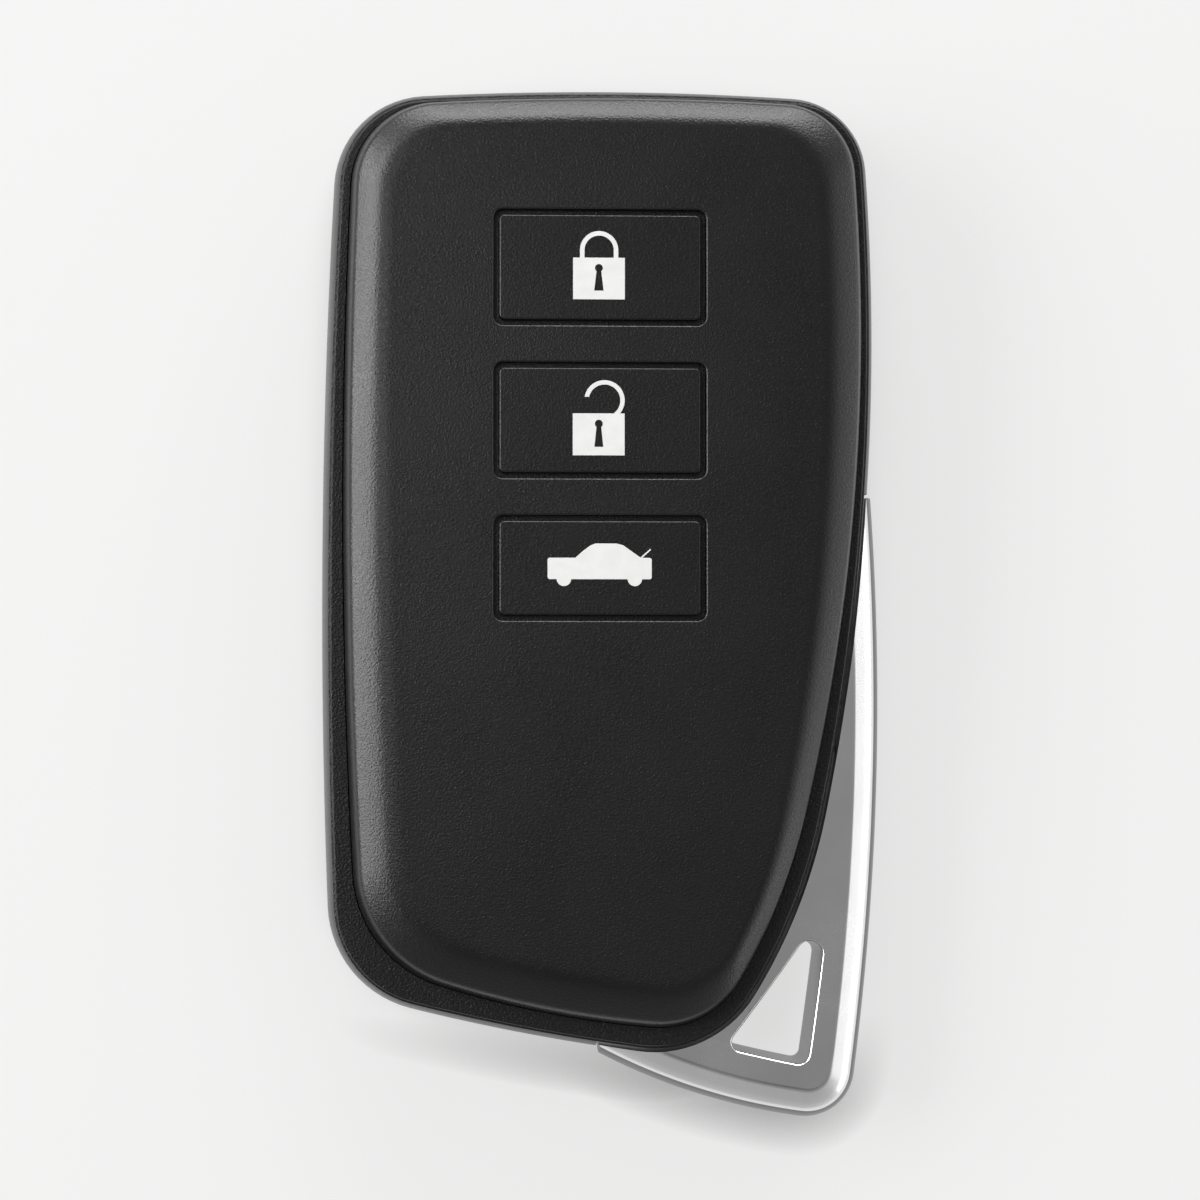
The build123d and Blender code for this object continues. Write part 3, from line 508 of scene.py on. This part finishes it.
windingLook = {"turns": 950.0, "distortion": 0.3, "colourLow": (0.2, 0.06, 0.02),
               "colourHigh": (0.55, 0.22, 0.09), "metallic": 0.9, "bump": 0.5, "depth": 0.04,
               "roughness": (0.42, 0.26)}


def makeWinding():
    material, tree, shader = newMaterial("copperWinding")
    turns = addNode(tree, "ShaderNodeTexWave",
                    {"Vector": objectPlace(tree), "Scale": windingLook["turns"],
                     "Distortion": windingLook["distortion"]}, bands_direction="DIAGONAL")
    tone = mixColours(tree, turns.outputs["Fac"], windingLook["colourLow"], windingLook["colourHigh"])
    tree.links.new(tone, shader.inputs["Base Color"])
    shader.inputs["Metallic"].default_value = windingLook["metallic"]
    setRoughness(tree, shader, turns.outputs["Fac"], 0, windingLook["roughness"])
    setBump(tree, shader, turns.outputs["Fac"], windingLook["bump"], windingLook["depth"])
    return material


inkLook = {"marks": 900.0, "weave": 3000.0, "breakUp": 0.9, "colour": (0.7, 0.7, 0.69),
           "colourWorn": (0.76, 0.76, 0.75), "bump": 0.15, "depth": 0.02, "roughness": (0.42, 0.5)}


def makeInk():
    material, tree, shader = newMaterial("legendInk")
    marks = useGroup(tree, "handling", {"Scale": inkLook["marks"]})
    weave = useGroup(tree, "grain", {"Scale": inkLook["weave"], "Break": inkLook["breakUp"]})
    tone = mixColours(tree, marks.outputs["Mask"], inkLook["colour"], inkLook["colourWorn"])
    tree.links.new(tone, shader.inputs["Base Color"])
    setRoughness(tree, shader, weave.outputs["Pits"], 0, inkLook["roughness"])
    setBump(tree, shader, weave.outputs["Height"], inkLook["bump"], inkLook["depth"])
    return material


materials["board"] = makeBoard()
materials["copper"] = makeWinding()
materials["ink"] = makeInk()
print("materials made:", len(materials))

cover = {
    "lipLow": 6.9,
    "base": 7.9,
    "foot": 9.2,  # the wall is upright up to here
    "face": 12.4,
    "insideFoot": 8.6,
    "inside": 11.2,
    "lipOutside": 0.6,
    "lipInside": 1.4,
    "shoulderSteps": 30,
    "insideSteps": 8,
    "turnFrom": 0.06,  # share of the shoulder where it leaves the face
    "turnOver": 0.5,  # and how much of it that turn takes
    "slope": (0.38, 0.8),  # slope after the turn, and how it grows toward the foot
    "edgeShare": 0.15,  # share of the shoulder that turns down steeply at its foot
    "edgeDrop": 9.0,
    "openingX": -0.3,
    "openingWidth": 16.6,
    "openingRound": 0.7,
    "openingEdge": 0.16,  # round of an opening's rim
    "openingSteps": 5,
    "openingDepth": 4,  # of its cutter
    "ribs": (9.7, 11.25),  # levels of the wall round each button's pocket
    "ribCut": (9, 12),  # levels of its cutter
    "ribReach": 1.6,
    "ribWall": 0.8,
}
# Middle in y and height of each opening
buttonRows = {"lock": (25.925, 9.05), "unlock": (13.975, 9.05), "trunk": (2.45, 8.2)}


def ease(value):
    value = min(max(value, 0.0), 1.0)
    return value * value * (3 - 2 * value)


# Loops from the foot to the face: steep at the foot, then an even slope that turns into the face
def shoulder(inset, foot, top, steps):
    start, growth = cover["slope"]
    drops = [0.0]
    for i in range(steps):
        share = (i + 0.5) / steps
        slope = ease((share - cover["turnFrom"]) / cover["turnOver"]) * (start + growth * share)
        steep = cover["edgeDrop"] * ease(1 - (1 - share) / cover["edgeShare"])
        drops.append(drops[-1] + slope + steep)
    made = []
    edge, face = corners("cover"), corners("face")
    for i in range(steps, -1, -1):
        rows = between(face, edge, i / steps)
        made.append((outline(rows, -inset), top - (top - foot) * drops[i] / drops[-1]))
    return made


def makeFrontCover():
    edge = corners("cover")
    loops = [(outline(edge, -cover["lipOutside"]), cover["lipLow"]),
             (outline(edge, -cover["lipOutside"]), cover["base"]), (outline(edge), cover["base"])]
    loops += shoulder(0, cover["foot"], cover["face"], cover["shoulderSteps"])
    shell = stack("frontCoverShell", loops)
    hollow = [(outline(edge, -cover["lipInside"]), cover["lipLow"] - overshoot)]
    hollow += shoulder(cover["lipInside"], cover["insideFoot"], cover["inside"], cover["insideSteps"])
    cutters = [stack("cutter", hollow)]
    for centreY, height in buttonRows.values():
        cutters.append(openingCutter(centreY, height))
    return carve(shell, cutters)


# An opening whose rim is rounded over, not sharp
def openingCutter(centreY, height):
    top, edge, steps = cover["face"], cover["openingEdge"], cover["openingSteps"]
    x, width, radius = cover["openingX"], cover["openingWidth"], cover["openingRound"]
    loops = [(roundedRectangle(x, centreY, width, height, radius), top - cover["openingDepth"])]
    for i in range(steps + 1):
        angle = math.pi / 2 * i / steps
        out = edge * (1 - math.cos(angle))
        ring = roundedRectangle(x, centreY, width + 2 * out, height + 2 * out, radius + out)
        loops.append((ring, top - edge + edge * math.sin(angle)))
    loops.append((loops[-1][0], top + overshoot))
    return stack("cutter", loops)


frontCover = makeFrontCover()
finishMesh(frontCover, "cover", materials["cover"])
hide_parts("front_cover")

for buttonName, (centreY, height) in buttonRows.items():
    place = (cover["openingX"], centreY)
    wide = cover["openingWidth"] + 2 * cover["ribReach"]
    tall = height + 2 * cover["ribReach"]
    wall = 2 * cover["ribWall"]
    outside = roundedRectangle(*place, wide, tall, cover["openingRound"])
    pocket = roundedRectangle(*place, wide - wall, tall - wall, cover["openingRound"])
    rib = prism(outside, *cover["ribs"], buttonName + "PocketRib")
    carve(rib, [prism(pocket, *cover["ribCut"])])
    finishMesh(rib, "cover", materials["cover"])
print("front cover made")

head = {
    "middle": 5.3,
    "half": 3.0,
    "gap": 0.52,  # between the ledge's outline and the head
    "upperEnd": 8.2,
    "leftEnd": 0.0,
    # Edge of the head from its face to its side: distance in from the side, and drop
    "edge": ((2.4, 0.0), (2.1, 0.04), (2.0, 0.09), (1.3, 0.53), (0.8, 0.86), (0.5, 1.2), (0.28, 1.6),
             (0.12, 2.1), (0.03, 2.5), (0.0, 2.75)),
    "sideSlope": 0.6,  # steeper than this the head gets painted shade, a dark metal colour that stands for the shadowed floor its side reflects
    "sharpAngle": 19,
    "holeEdge": 0.2,
    "holeSteps": 4,
    "holeTaper": 0.25,  # the ring hole narrows toward the back
    "tangSlot": (15.9, 18.7, -24.4, 0, 4.2, 6.4),  # x from and to, y, z
}
case = {
    "widest": 6.0,
    "flare": 0.64,
    "backInset": 3.0,
    "rim": 8.6,
    "floor": 1.2,
    "seat": 7.4,
    "seatWidth": 0.5,
    "coverFit": 0.1,
    "headGap": 0.3,
    "besideHead": 0.22,  # case wall along the key head, outside the ledge's outline
    "backSteps": 16,
    "backPower": 2.6,  # 2 is an ellipse, more is squarer
    "rimSteps": 8,
    "rimTurn": 80,  # degrees
    "rimPower": 1.7,
    "rimOut": 0.03,
    "ledgeRound": 0.14,
    "ledgeMiddle": (0.25, 0.3),  # middle point of the ledge's round: shares in and down
    "ledgeSteps": 4,
    "sideSlope": 0.9,  # flatter than this is the ledge
    "sideLow": 0.4,
    "bladeSlot": (12.1, 18.9, -far, 16, 4.0, 6.6),  # x from and to, y, z
    "sliderWindow": (1.9, 9.9, -12.5, -8.7, -2, 1.35),
}


# Loops from the back over the widest level to the ledge
def caseLoops(rim):
    loops = []
    widest, flare, inset, steps = case["widest"], case["flare"], case["backInset"], case["backSteps"]
    for i in range(steps + 1):  # rounded edge from the flat back to the widest level
        angle = math.pi / 2 * i / steps
        reach = math.sin(angle) ** (2 / case["backPower"])
        drop = math.cos(angle) ** (2 / case["backPower"])
        loops.append((outline(rim, -inset + (inset + flare) * reach), widest * (1 - drop)))
    top, rounded, steps = case["rim"], case["ledgeRound"], case["rimSteps"]
    for i in range(1, steps):  # in again to the ledge
        angle = math.radians(case["rimTurn"]) * i / steps
        reach = math.cos(angle) ** (2 / case["rimPower"])
        rise = math.sin(angle) ** (2 / case["rimPower"])
        loops.append((outline(rim, flare * reach), widest + (top - widest) * rise))
    inward, down = case["ledgeMiddle"]
    loops.append((outline(rim, case["rimOut"]), top - rounded))
    loops.append((outline(rim, -rounded * inward), top - rounded * down))
    loops.append((outline(rim, -rounded), top))
    return loops


# Room for the key head, up to a wall that runs along it
def headRoom(rim):
    side, top, rounded, steps = case["besideHead"], case["rim"], case["ledgeRound"], case["ledgeSteps"]
    wall = [(outline(rim, side), beyond[0])]
    for i in range(steps + 1):
        angle = math.pi / 2 * i / steps
        wall.append((outline(rim, side - rounded * (1 - math.cos(angle))),
                     top - rounded * (1 - math.sin(angle))))
    wall.append((outline(rim, side - rounded), beyond[1]))
    room = prism(outline(corners("head"), case["headGap"]), *through)
    return carve(room, [
        stack("cutter", wall),
        box(-far, far, head["upperEnd"] + case["headGap"], far, *beyond),
        box(-far, head["leftEnd"] - case["headGap"], -far, far, *beyond),
    ])


def makeRearCase():
    rim = corners("rim")
    edge = corners("cover")
    return carve(stack("rearCaseTray", caseLoops(rim)), [
        headRoom(rim),
        prism(outline(edge, -case["seatWidth"]), case["floor"], through[1]),
        prism(outline(edge, case["coverFit"]), case["seat"], through[1]),
        box(*case["bladeSlot"]),
        box(*case["sliderWindow"]),
    ])


# The side is smoother than the ledge and the back
def onCaseSide(face):
    return face.normal.z < case["sideSlope"] and face.center.z > case["sideLow"] * mm


rearCase = makeRearCase()
finishMesh(rearCase, "case", materials["case"])
finishFaces(rearCase, materials["side"], onCaseSide)
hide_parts("rear_case")
print("rear case made")

cap = {
    "groove": 0.42,  # gap to the opening
    "round": 0.42,
    "flange": 0.6,  # reach beyond the opening, under the cover
    "flangeRound": 0.7,
    "flangeLow": 10.35,
    "flangeTop": 11.15,
    "top": 12.37,
    "edge": 0.16,
    "edgeSteps": 4,
}
# Signs are drawn in photo pixels from the middle of their cap, y up
sign = {
    "low": 12.365,
    "high": 12.385,
    "pixel": 0.0777,  # size of a photo pixel
    "closed": {
        "body": (-27.2, 24.9, -32.25, 9.65),  # left, right, bottom, top
        "shackle": (-1.0, 17.15, 19.3, 14.7),  # middle in x and y, outer and inner radius
        "keyhole": (-1.2, -0.75, -23.5, 4.0, 4.8, 9.5),  # middle, top, bottom, radius, slot's widths
    },
    "open": {
        "body": (-27.5, 24.65, -35.25, 6.9),
        "shackle": (4.45, 20.0, 20.3, 15.9),
        "outerTurn": (-40, 170),  # degrees from where to where the shackle is seen
        "innerTurn": (167, -56),
        "keyhole": (-1.25, -3.5, -26.75, 4.0, 4.8, 9.0),
    },
    "car": {
        "roofToTail": ((-51.2, 10.25), (-24.9, 10.25), (-17.0, 17.3), (-9.7, 22.6), (-4.6, 24.6),
                       (16.4, 24.6), (22.9, 23.0), (30.4, 17.75), (41.0, 10.25), (50.3, 10.25),
                       (51.9, 8.7), (51.9, -9.9), (50.3, -11.25), (42.25, -11.25)),
        "sill": ((27.6, -11.25), (-29.05, -11.25)),
        "nose": ((-43.7, -11.25), (-51.2, -11.25), (-52.75, -9.7), (-52.75, 8.7)),
        "lid": ((40.5, 10.6), (50.4, 19.3), (51.3, 18.3), (42.2, 10.1)),
        "rearWheel": (34.95, -10.9, 7.3),  # middle in x and y, radius
        "frontWheel": (-36.35, -10.9, 7.3),
        "wheelSteps": 18,
    },
    "shackleSteps": {"closed": 40, "open": 50},
    "keyholeSteps": 30,
}


def makeCap(name, centreY, height):
    x, width = cover["openingX"], cover["openingWidth"]
    wide = width - 2 * cap["groove"]
    tall = height - 2 * cap["groove"]
    reach = 2 * cap["flange"]
    flange = roundedRectangle(x, centreY, width + reach, height + reach, cap["flangeRound"])
    loops = [(flange, cap["flangeLow"]), (flange, cap["flangeTop"]),
             (roundedRectangle(x, centreY, wide, tall, cap["round"]), cap["flangeTop"])]
    for i in range(cap["edgeSteps"] + 1):
        angle = math.pi / 2 * i / cap["edgeSteps"]
        inward = cap["edge"] * (1 - math.cos(angle))
        ring = roundedRectangle(x, centreY, wide - 2 * inward, tall - 2 * inward, cap["round"] - inward)
        loops.append((ring, cap["top"] - cap["edge"] + cap["edge"] * math.sin(angle)))
    return stack(name + "Cap", loops)


# Points on a circle from one angle to another, in degrees
def circle(x, y, radius, start, end, steps):
    made = []
    for i in range(steps + 1):
        angle = math.radians(start + (end - start) * i / steps)
        made.append((x + radius * math.cos(angle), y + radius * math.sin(angle)))
    return made


def keyhole(x, top, bottom, radius, narrow, wide):
    side = math.degrees(math.asin(narrow / 2 / radius))
    ring = circle(x, top, radius, -90 + side, 270 - side, sign["keyholeSteps"])
    return ring + [(x - wide / 2, bottom), (x + wide / 2, bottom)]


# Flat print: outlines and the holes in them
def makeSign(name, centre, islands):
    curve = bpy.data.curves.new(name + "Print", "CURVE")
    curve.dimensions = "2D"
    curve.fill_mode = "BOTH"
    curve.extrude = (sign["high"] - sign["low"]) / 2 * mm
    for points in islands:
        spline = curve.splines.new("POLY")
        spline.points.add(len(points) - 1)
        for point, (x, y) in zip(spline.points, points):
            point.co = (x * sign["pixel"] * mm, y * sign["pixel"] * mm, 0, 1)
        spline.use_cyclic_u = True
    drawn = addObject(name + "Drawn", curve)
    drawn.location = (centre[0] * mm, centre[1] * mm, (sign["low"] + sign["high"]) / 2 * mm)
    mesh = evaluatedMesh(drawn)
    mesh.transform(drawn.matrix_world)
    bpy.data.objects.remove(drawn)
    mesh.materials.clear()
    mesh.materials.append(materials["ink"])
    return addObject(name + "Print", mesh)


def padlockBody(look):
    left, right, bottom, top = look["body"]
    return [(left, top), (left, bottom), (right, bottom), (right, top)]


def closedPadlock():
    look = sign["closed"]
    x, y, outer, inner = look["shackle"]
    foot = look["body"][3]
    steps = sign["shackleSteps"]["closed"]
    shackle = [(x + outer, foot)] + circle(x, y, outer, 0, 180, steps) + [(x - outer, foot)]
    shackle += [(x - inner, foot)] + circle(x, y, inner, 180, 0, steps) + [(x + inner, foot)]
    return [padlockBody(look), keyhole(*look["keyhole"]), shackle]


def openPadlock():
    look = sign["open"]
    x, y, outer, inner = look["shackle"]
    steps = sign["shackleSteps"]["open"]
    shackle = circle(x, y, outer, *look["outerTurn"], steps)
    shackle += circle(x, y, inner, *look["innerTurn"], steps)
    return [padlockBody(look), keyhole(*look["keyhole"]), shackle]


def carWithOpenBoot():
    look = sign["car"]
    rear = circle(*look["rearWheel"], 0, -180, look["wheelSteps"])
    front = circle(*look["frontWheel"], 0, -180, look["wheelSteps"])
    return [[*look["roofToTail"], *rear, *look["sill"], *front, *look["nose"]], look["lid"]]


pictures = {"lock": closedPadlock, "unlock": openPadlock, "trunk": carWithOpenBoot}
for buttonName, (centreY, height) in buttonRows.items():
    piece = makeCap(buttonName, centreY, height)
    finishMesh(piece, buttonName, materials["cap"])
    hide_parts(buttonName + "_button")
    printed = makeSign(buttonName, (cover["openingX"], centreY), pictures[buttonName]())
    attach(printed, buttonName)
print("buttons made")


def makeKeyHead():
    rows = corners("head")
    top = head["middle"] + head["half"]
    low = head["middle"] - head["half"]
    upper = [(outline(rows, -inward), top - drop) for inward, drop in head["edge"]]
    lower = [(outline(rows, -inward), low + drop) for inward, drop in head["edge"]]
    return carve(stack("keyHeadBody", lower + upper[::-1]), [
        prism(outline(corners("rim"), head["gap"]), *through),
        box(-far, far, head["upperEnd"], far, *beyond),
        box(-far, head["leftEnd"], -far, far, *beyond),
        ringHoleCutter(top, low),
        box(*head["tangSlot"]),
    ])


# The hole's rims are rounded over at the front and the back
def ringHoleCutter(top, low):
    rows = corners("ringHole")
    edge, taper, steps = head["holeEdge"], head["holeTaper"], head["holeSteps"]
    loops = [(outline(rows, edge - taper), low - overshoot)]
    for i in range(steps + 1):
        angle = math.pi / 2 * (1 - i / steps)
        inward = edge * (1 - math.cos(angle))
        loops.append((outline(rows, inward - taper), low + edge - edge * math.sin(angle)))
    for i in range(steps + 1):
        angle = math.pi / 2 * i / steps
        inward = edge * (1 - math.cos(angle))
        loops.append((outline(rows, inward), top - edge + edge * math.sin(angle)))
    loops.append((outline(rows, edge), top + overshoot))
    return stack("cutter", loops)


# The steep side gets painted shade: a dark metal colour that stands for the shadowed floor it reflects
def onHeadSide(face):
    return abs(face.normal.z) < head["sideSlope"]


keyHead = makeKeyHead()
finishMesh(keyHead, "key", materials["head"], angle=head["sharpAngle"])
# Painted shade on the head's steep sides, for the shadowed floor they reflect
finishFaces(keyHead, materials["headSidePaintedShade"], onHeadSide)
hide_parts("key_head")
print("key head made")

slotFinish = {
    "case_plastic": "case", "cover_plastic": "cover", "cap_plastic": "cap", "slider_plastic": "slider",
    "frame_plastic": "frame", "silicone": "silicone", "seal_rubber": "seal", "board_laminate": "board",
    "head_chrome": "head", "key_steel": "blade", "spring_steel": "spring", "cell_steel": "cell",
    "chip_resin": "chip", "ceramic": "ceramic", "ferrite": "ferrite", "copper": "copper",
}
for part in frame["record"]["subparts"]:
    for slot in frame["nodes"][part["node"]].material_slots:
        slot.material = materials[slotFinish[part["material_slot"]]]
print("inner parts finished")

# Springs and rubber that give as a joint moves, copied here at rest onto their body: joint, axis, share
# kept at its limit, body and slot
softPieces = {"release_spring": ("release_slide", (1, 0, 0), 0.63, "case", "spring_steel")}
for buttonName in buttonRows:
    press = buttonName + "_press"
    softPieces[buttonName + "_skirt"] = (press, (0, 0, 1), 0.68, "cover", "silicone")
    softPieces[buttonName + "_snap_dome"] = (press, (0, 0, 1), 0.2, "case", "spring_steel")
for nodeName, (joint, axis, keep, body, slotName) in softPieces.items():
    mesh = frame["nodes"][nodeName].data.copy()
    mesh.transform(frame["nodes"][nodeName].matrix_world)
    piece = addObject(nodeName + "Soft", mesh)
    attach(piece, body)
    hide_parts(nodeName)
    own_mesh(piece)
print("soft pieces made:", len(softPieces))

floorLook = {
    "size": 6.0,
    "colour": (0.84, 0.84, 0.838),
    "markedTone": 0.99,
    "marks": 3.0,
    "roughness": 0.9,
    "specular": 0.1,
    "pale": (0.87, 0.87, 0.866, 1),
    "paleShare": 0.76,  # share of the floor that is plain pale background
    "glossyShare": 0.95,  # the same in reflections, as a share of it
    "shadowDepth": 0.9,
    "shadowSamples": 12,
    "cornerReach": 0.0055,  # shadow under the lower corner
    "cornerAim": (-0.3, 0.85, 0.45),  # toward the object from there
    "cornerOpen": (0.45, 1.0),  # from fully dark to open
    "cornerFrom": (-0.033, -0.0405),  # y where it sets in and where it is full
    "underReach": 0.006,  # shadow where the case meets the floor
    "underOpen": (0.05, 0.6),
    "holeLight": (0.0139, -0.031, 0.0),  # light falls through the ring hole here
    "holeReach": (0.0055, 0.009),  # distance from it where the shadow sets in and where it is full
}


# How dark the floor is where the fob lies on it or stands close over it
def contactShadow(tree):
    depth, samples = floorLook["shadowDepth"], floorLook["shadowSamples"]
    place = objectPlace(tree)
    aim = addNode(tree, "ShaderNodeCombineXYZ", dict(zip("XYZ", floorLook["cornerAim"])))
    near = addNode(tree, "ShaderNodeAmbientOcclusion",
                   {"Distance": floorLook["cornerReach"], "Normal": aim.outputs[0]}, samples=samples)
    corner = mapRange(tree, near.outputs["AO"], floorLook["cornerOpen"], (depth, 0.0))
    parts = addNode(tree, "ShaderNodeSeparateXYZ", {0: place})
    lower = mapRange(tree, parts.outputs["Y"], floorLook["cornerFrom"])
    corner = mathNode(tree, "MULTIPLY", corner, lower)
    low = addNode(tree, "ShaderNodeAmbientOcclusion", {"Distance": floorLook["underReach"]},
                  samples=samples)
    under = mapRange(tree, low.outputs["AO"], floorLook["underOpen"], (depth, 0.0))
    away = addNode(tree, "ShaderNodeVectorMath", {0: place, 1: floorLook["holeLight"]},
                   operation="DISTANCE")
    outside = mapRange(tree, away.outputs["Value"], floorLook["holeReach"])
    return mathNode(tree, "MULTIPLY", mathNode(tree, "MAXIMUM", corner, under), outside)


def makeFloor():
    mesh = bpy.data.meshes.new("floor")
    half = floorLook["size"] / 2
    mesh.from_pydata([(-half, -half, 0), (half, -half, 0), (half, half, 0), (-half, half, 0)], [],
                     [(0, 1, 2, 3)])
    floor = addObject("floor", mesh)
    material, tree, shader = newMaterial("floorPaper")
    marks = useGroup(tree, "handling", {"Scale": floorLook["marks"]})
    colour = floorLook["colour"]
    marked = tuple(level * floorLook["markedTone"] for level in colour)
    tone = mixColours(tree, marks.outputs["Mask"], colour, marked)
    tree.links.new(tone, shader.inputs["Base Color"])
    shader.inputs["Roughness"].default_value = floorLook["roughness"]
    shader.inputs["Specular IOR Level"].default_value = floorLook["specular"]
    lit = mathNode(tree, "SUBTRACT", 1.0, contactShadow(tree))
    pale = addNode(tree, "ShaderNodeEmission", {"Color": floorLook["pale"], "Strength": lit})
    rays = addNode(tree, "ShaderNodeLightPath").outputs
    glossy = mathNode(tree, "MULTIPLY", rays["Is Glossy Ray"], floorLook["glossyShare"])
    seen = mathNode(tree, "MAXIMUM", rays["Is Camera Ray"], glossy)
    seen = mathNode(tree, "MAXIMUM", seen, rays["Is Transmission Ray"])
    share = mathNode(tree, "MULTIPLY", seen, floorLook["paleShare"])
    paper = addNode(tree, "ShaderNodeMixShader", {0: share, 1: shader.outputs[0], 2: pale.outputs[0]})
    side = addNode(tree, "ShaderNodeNewGeometry")
    clear = addNode(tree, "ShaderNodeBsdfTransparent")  # from below, so that the back can be seen
    mix = addNode(tree, "ShaderNodeMixShader",
                  {0: side.outputs["Backfacing"], 1: paper.outputs[0], 2: clear.outputs[0]})
    tree.links.new(mix.outputs[0], tree.nodes["Material Output"].inputs["Surface"])
    mesh.materials.append(material)


lamps = {
    "leftSoftbox": {"place": (-0.72, 0.18, 0.465), "size": (0.81, 0.44), "power": 7.3},
    "topSoftbox": {"place": (0.09, 0.90, 0.30), "size": (1.02, 0.50), "power": 9.6},
    "rightSoftbox": {"place": (1.02, -0.06, 0.66), "size": (0.9, 0.78), "power": 0.85},
    "rightStrip": {"place": (1.0, -0.05, 0.12), "size": (1.4, 0.14), "power": 1.5},
    "overhead": {"place": (-0.078, 0.04, 0.25), "size": (0.08, 0.06), "power": 0.055},
}


# Area lamp that faces the fob
def makeLamp(name, look):
    lamp = bpy.data.lights.new(name, "AREA")
    lamp.shape = "RECTANGLE"
    lamp.size, lamp.size_y = look["size"]
    lamp.energy = look["power"]
    piece = addObject(name, lamp)
    piece.location = look["place"]
    piece.rotation_euler = (-Vector(look["place"])).to_track_quat("-Z", "Y").to_euler()
    piece.visible_camera = False


skyLook = {
    "zenith": 0.26,
    "horizon": 0.82,
    "horizonTop": 0.95,  # the sky is at its zenith level above this height
    "lowerEnd": 0.5,  # level of the horizon at the lower end
    "lowerFrom": (-0.8, 0.0),  # y there, and where the horizon has its full level
    "gap": 0.1,  # level between the horizon and the zenith at the lower end
    "gapFrom": (-0.1, -0.2),  # y where the gap sets in and where it is full
    "gapHeight": (0.84, 0.93),
}


# White tent: bright near the horizon, darker overhead and toward the lower end
def makeSky():
    world = bpy.data.worlds.new("studio")
    bpy.context.scene.world = world
    world.use_nodes = True
    tree = world.node_tree
    aim = addNode(tree, "ShaderNodeTexCoord")
    parts = addNode(tree, "ShaderNodeSeparateXYZ", {0: aim.outputs["Generated"]}).outputs
    low = mapRange(tree, parts["Z"], (0.0, skyLook["horizonTop"]), (1.0, 0.0),
                   interpolation_type="SMOOTHSTEP")
    bright = mapRange(tree, parts["Y"], skyLook["lowerFrom"], (skyLook["lowerEnd"], skyLook["horizon"]))
    level = addNode(tree, "ShaderNodeMix", {0: low, 2: skyLook["zenith"], 3: bright}).outputs[0]
    lower = mapRange(tree, parts["Y"], skyLook["gapFrom"])
    high = mapRange(tree, parts["Z"], skyLook["gapHeight"])
    gap = mathNode(tree, "MULTIPLY", lower, high)
    level = addNode(tree, "ShaderNodeMix", {0: gap, 2: level, 3: skyLook["gap"]}).outputs[0]
    tree.links.new(level, tree.nodes["Background"].inputs["Strength"])
    tree.nodes["Background"].inputs["Color"].default_value = (1, 1, 1, 1)


view = {"place": (-0.024, -0.0086, 0.3886), "target": (-0.00007, 0.00004, 0.0086), "lens": 145.2,
        "clipStart": 0.01}


def makeCamera():
    camera = bpy.data.cameras.new("photoCamera")
    camera.lens = view["lens"]
    camera.clip_start = view["clipStart"]
    piece = addObject("photoCamera", camera)
    piece.location = view["place"]
    back = (Vector(view["place"]) - Vector(view["target"])).normalized()
    right = Vector((0, 1, 0)).cross(back).normalized()
    piece.rotation_euler = Matrix((right, back.cross(right), back)).transposed().to_euler()
    bpy.context.scene.camera = piece


makeFloor()
for lampName, look in lamps.items():
    makeLamp(lampName, look)
makeSky()
makeCamera()
bpy.context.scene.view_settings.view_transform = "Standard"
print("studio ready")
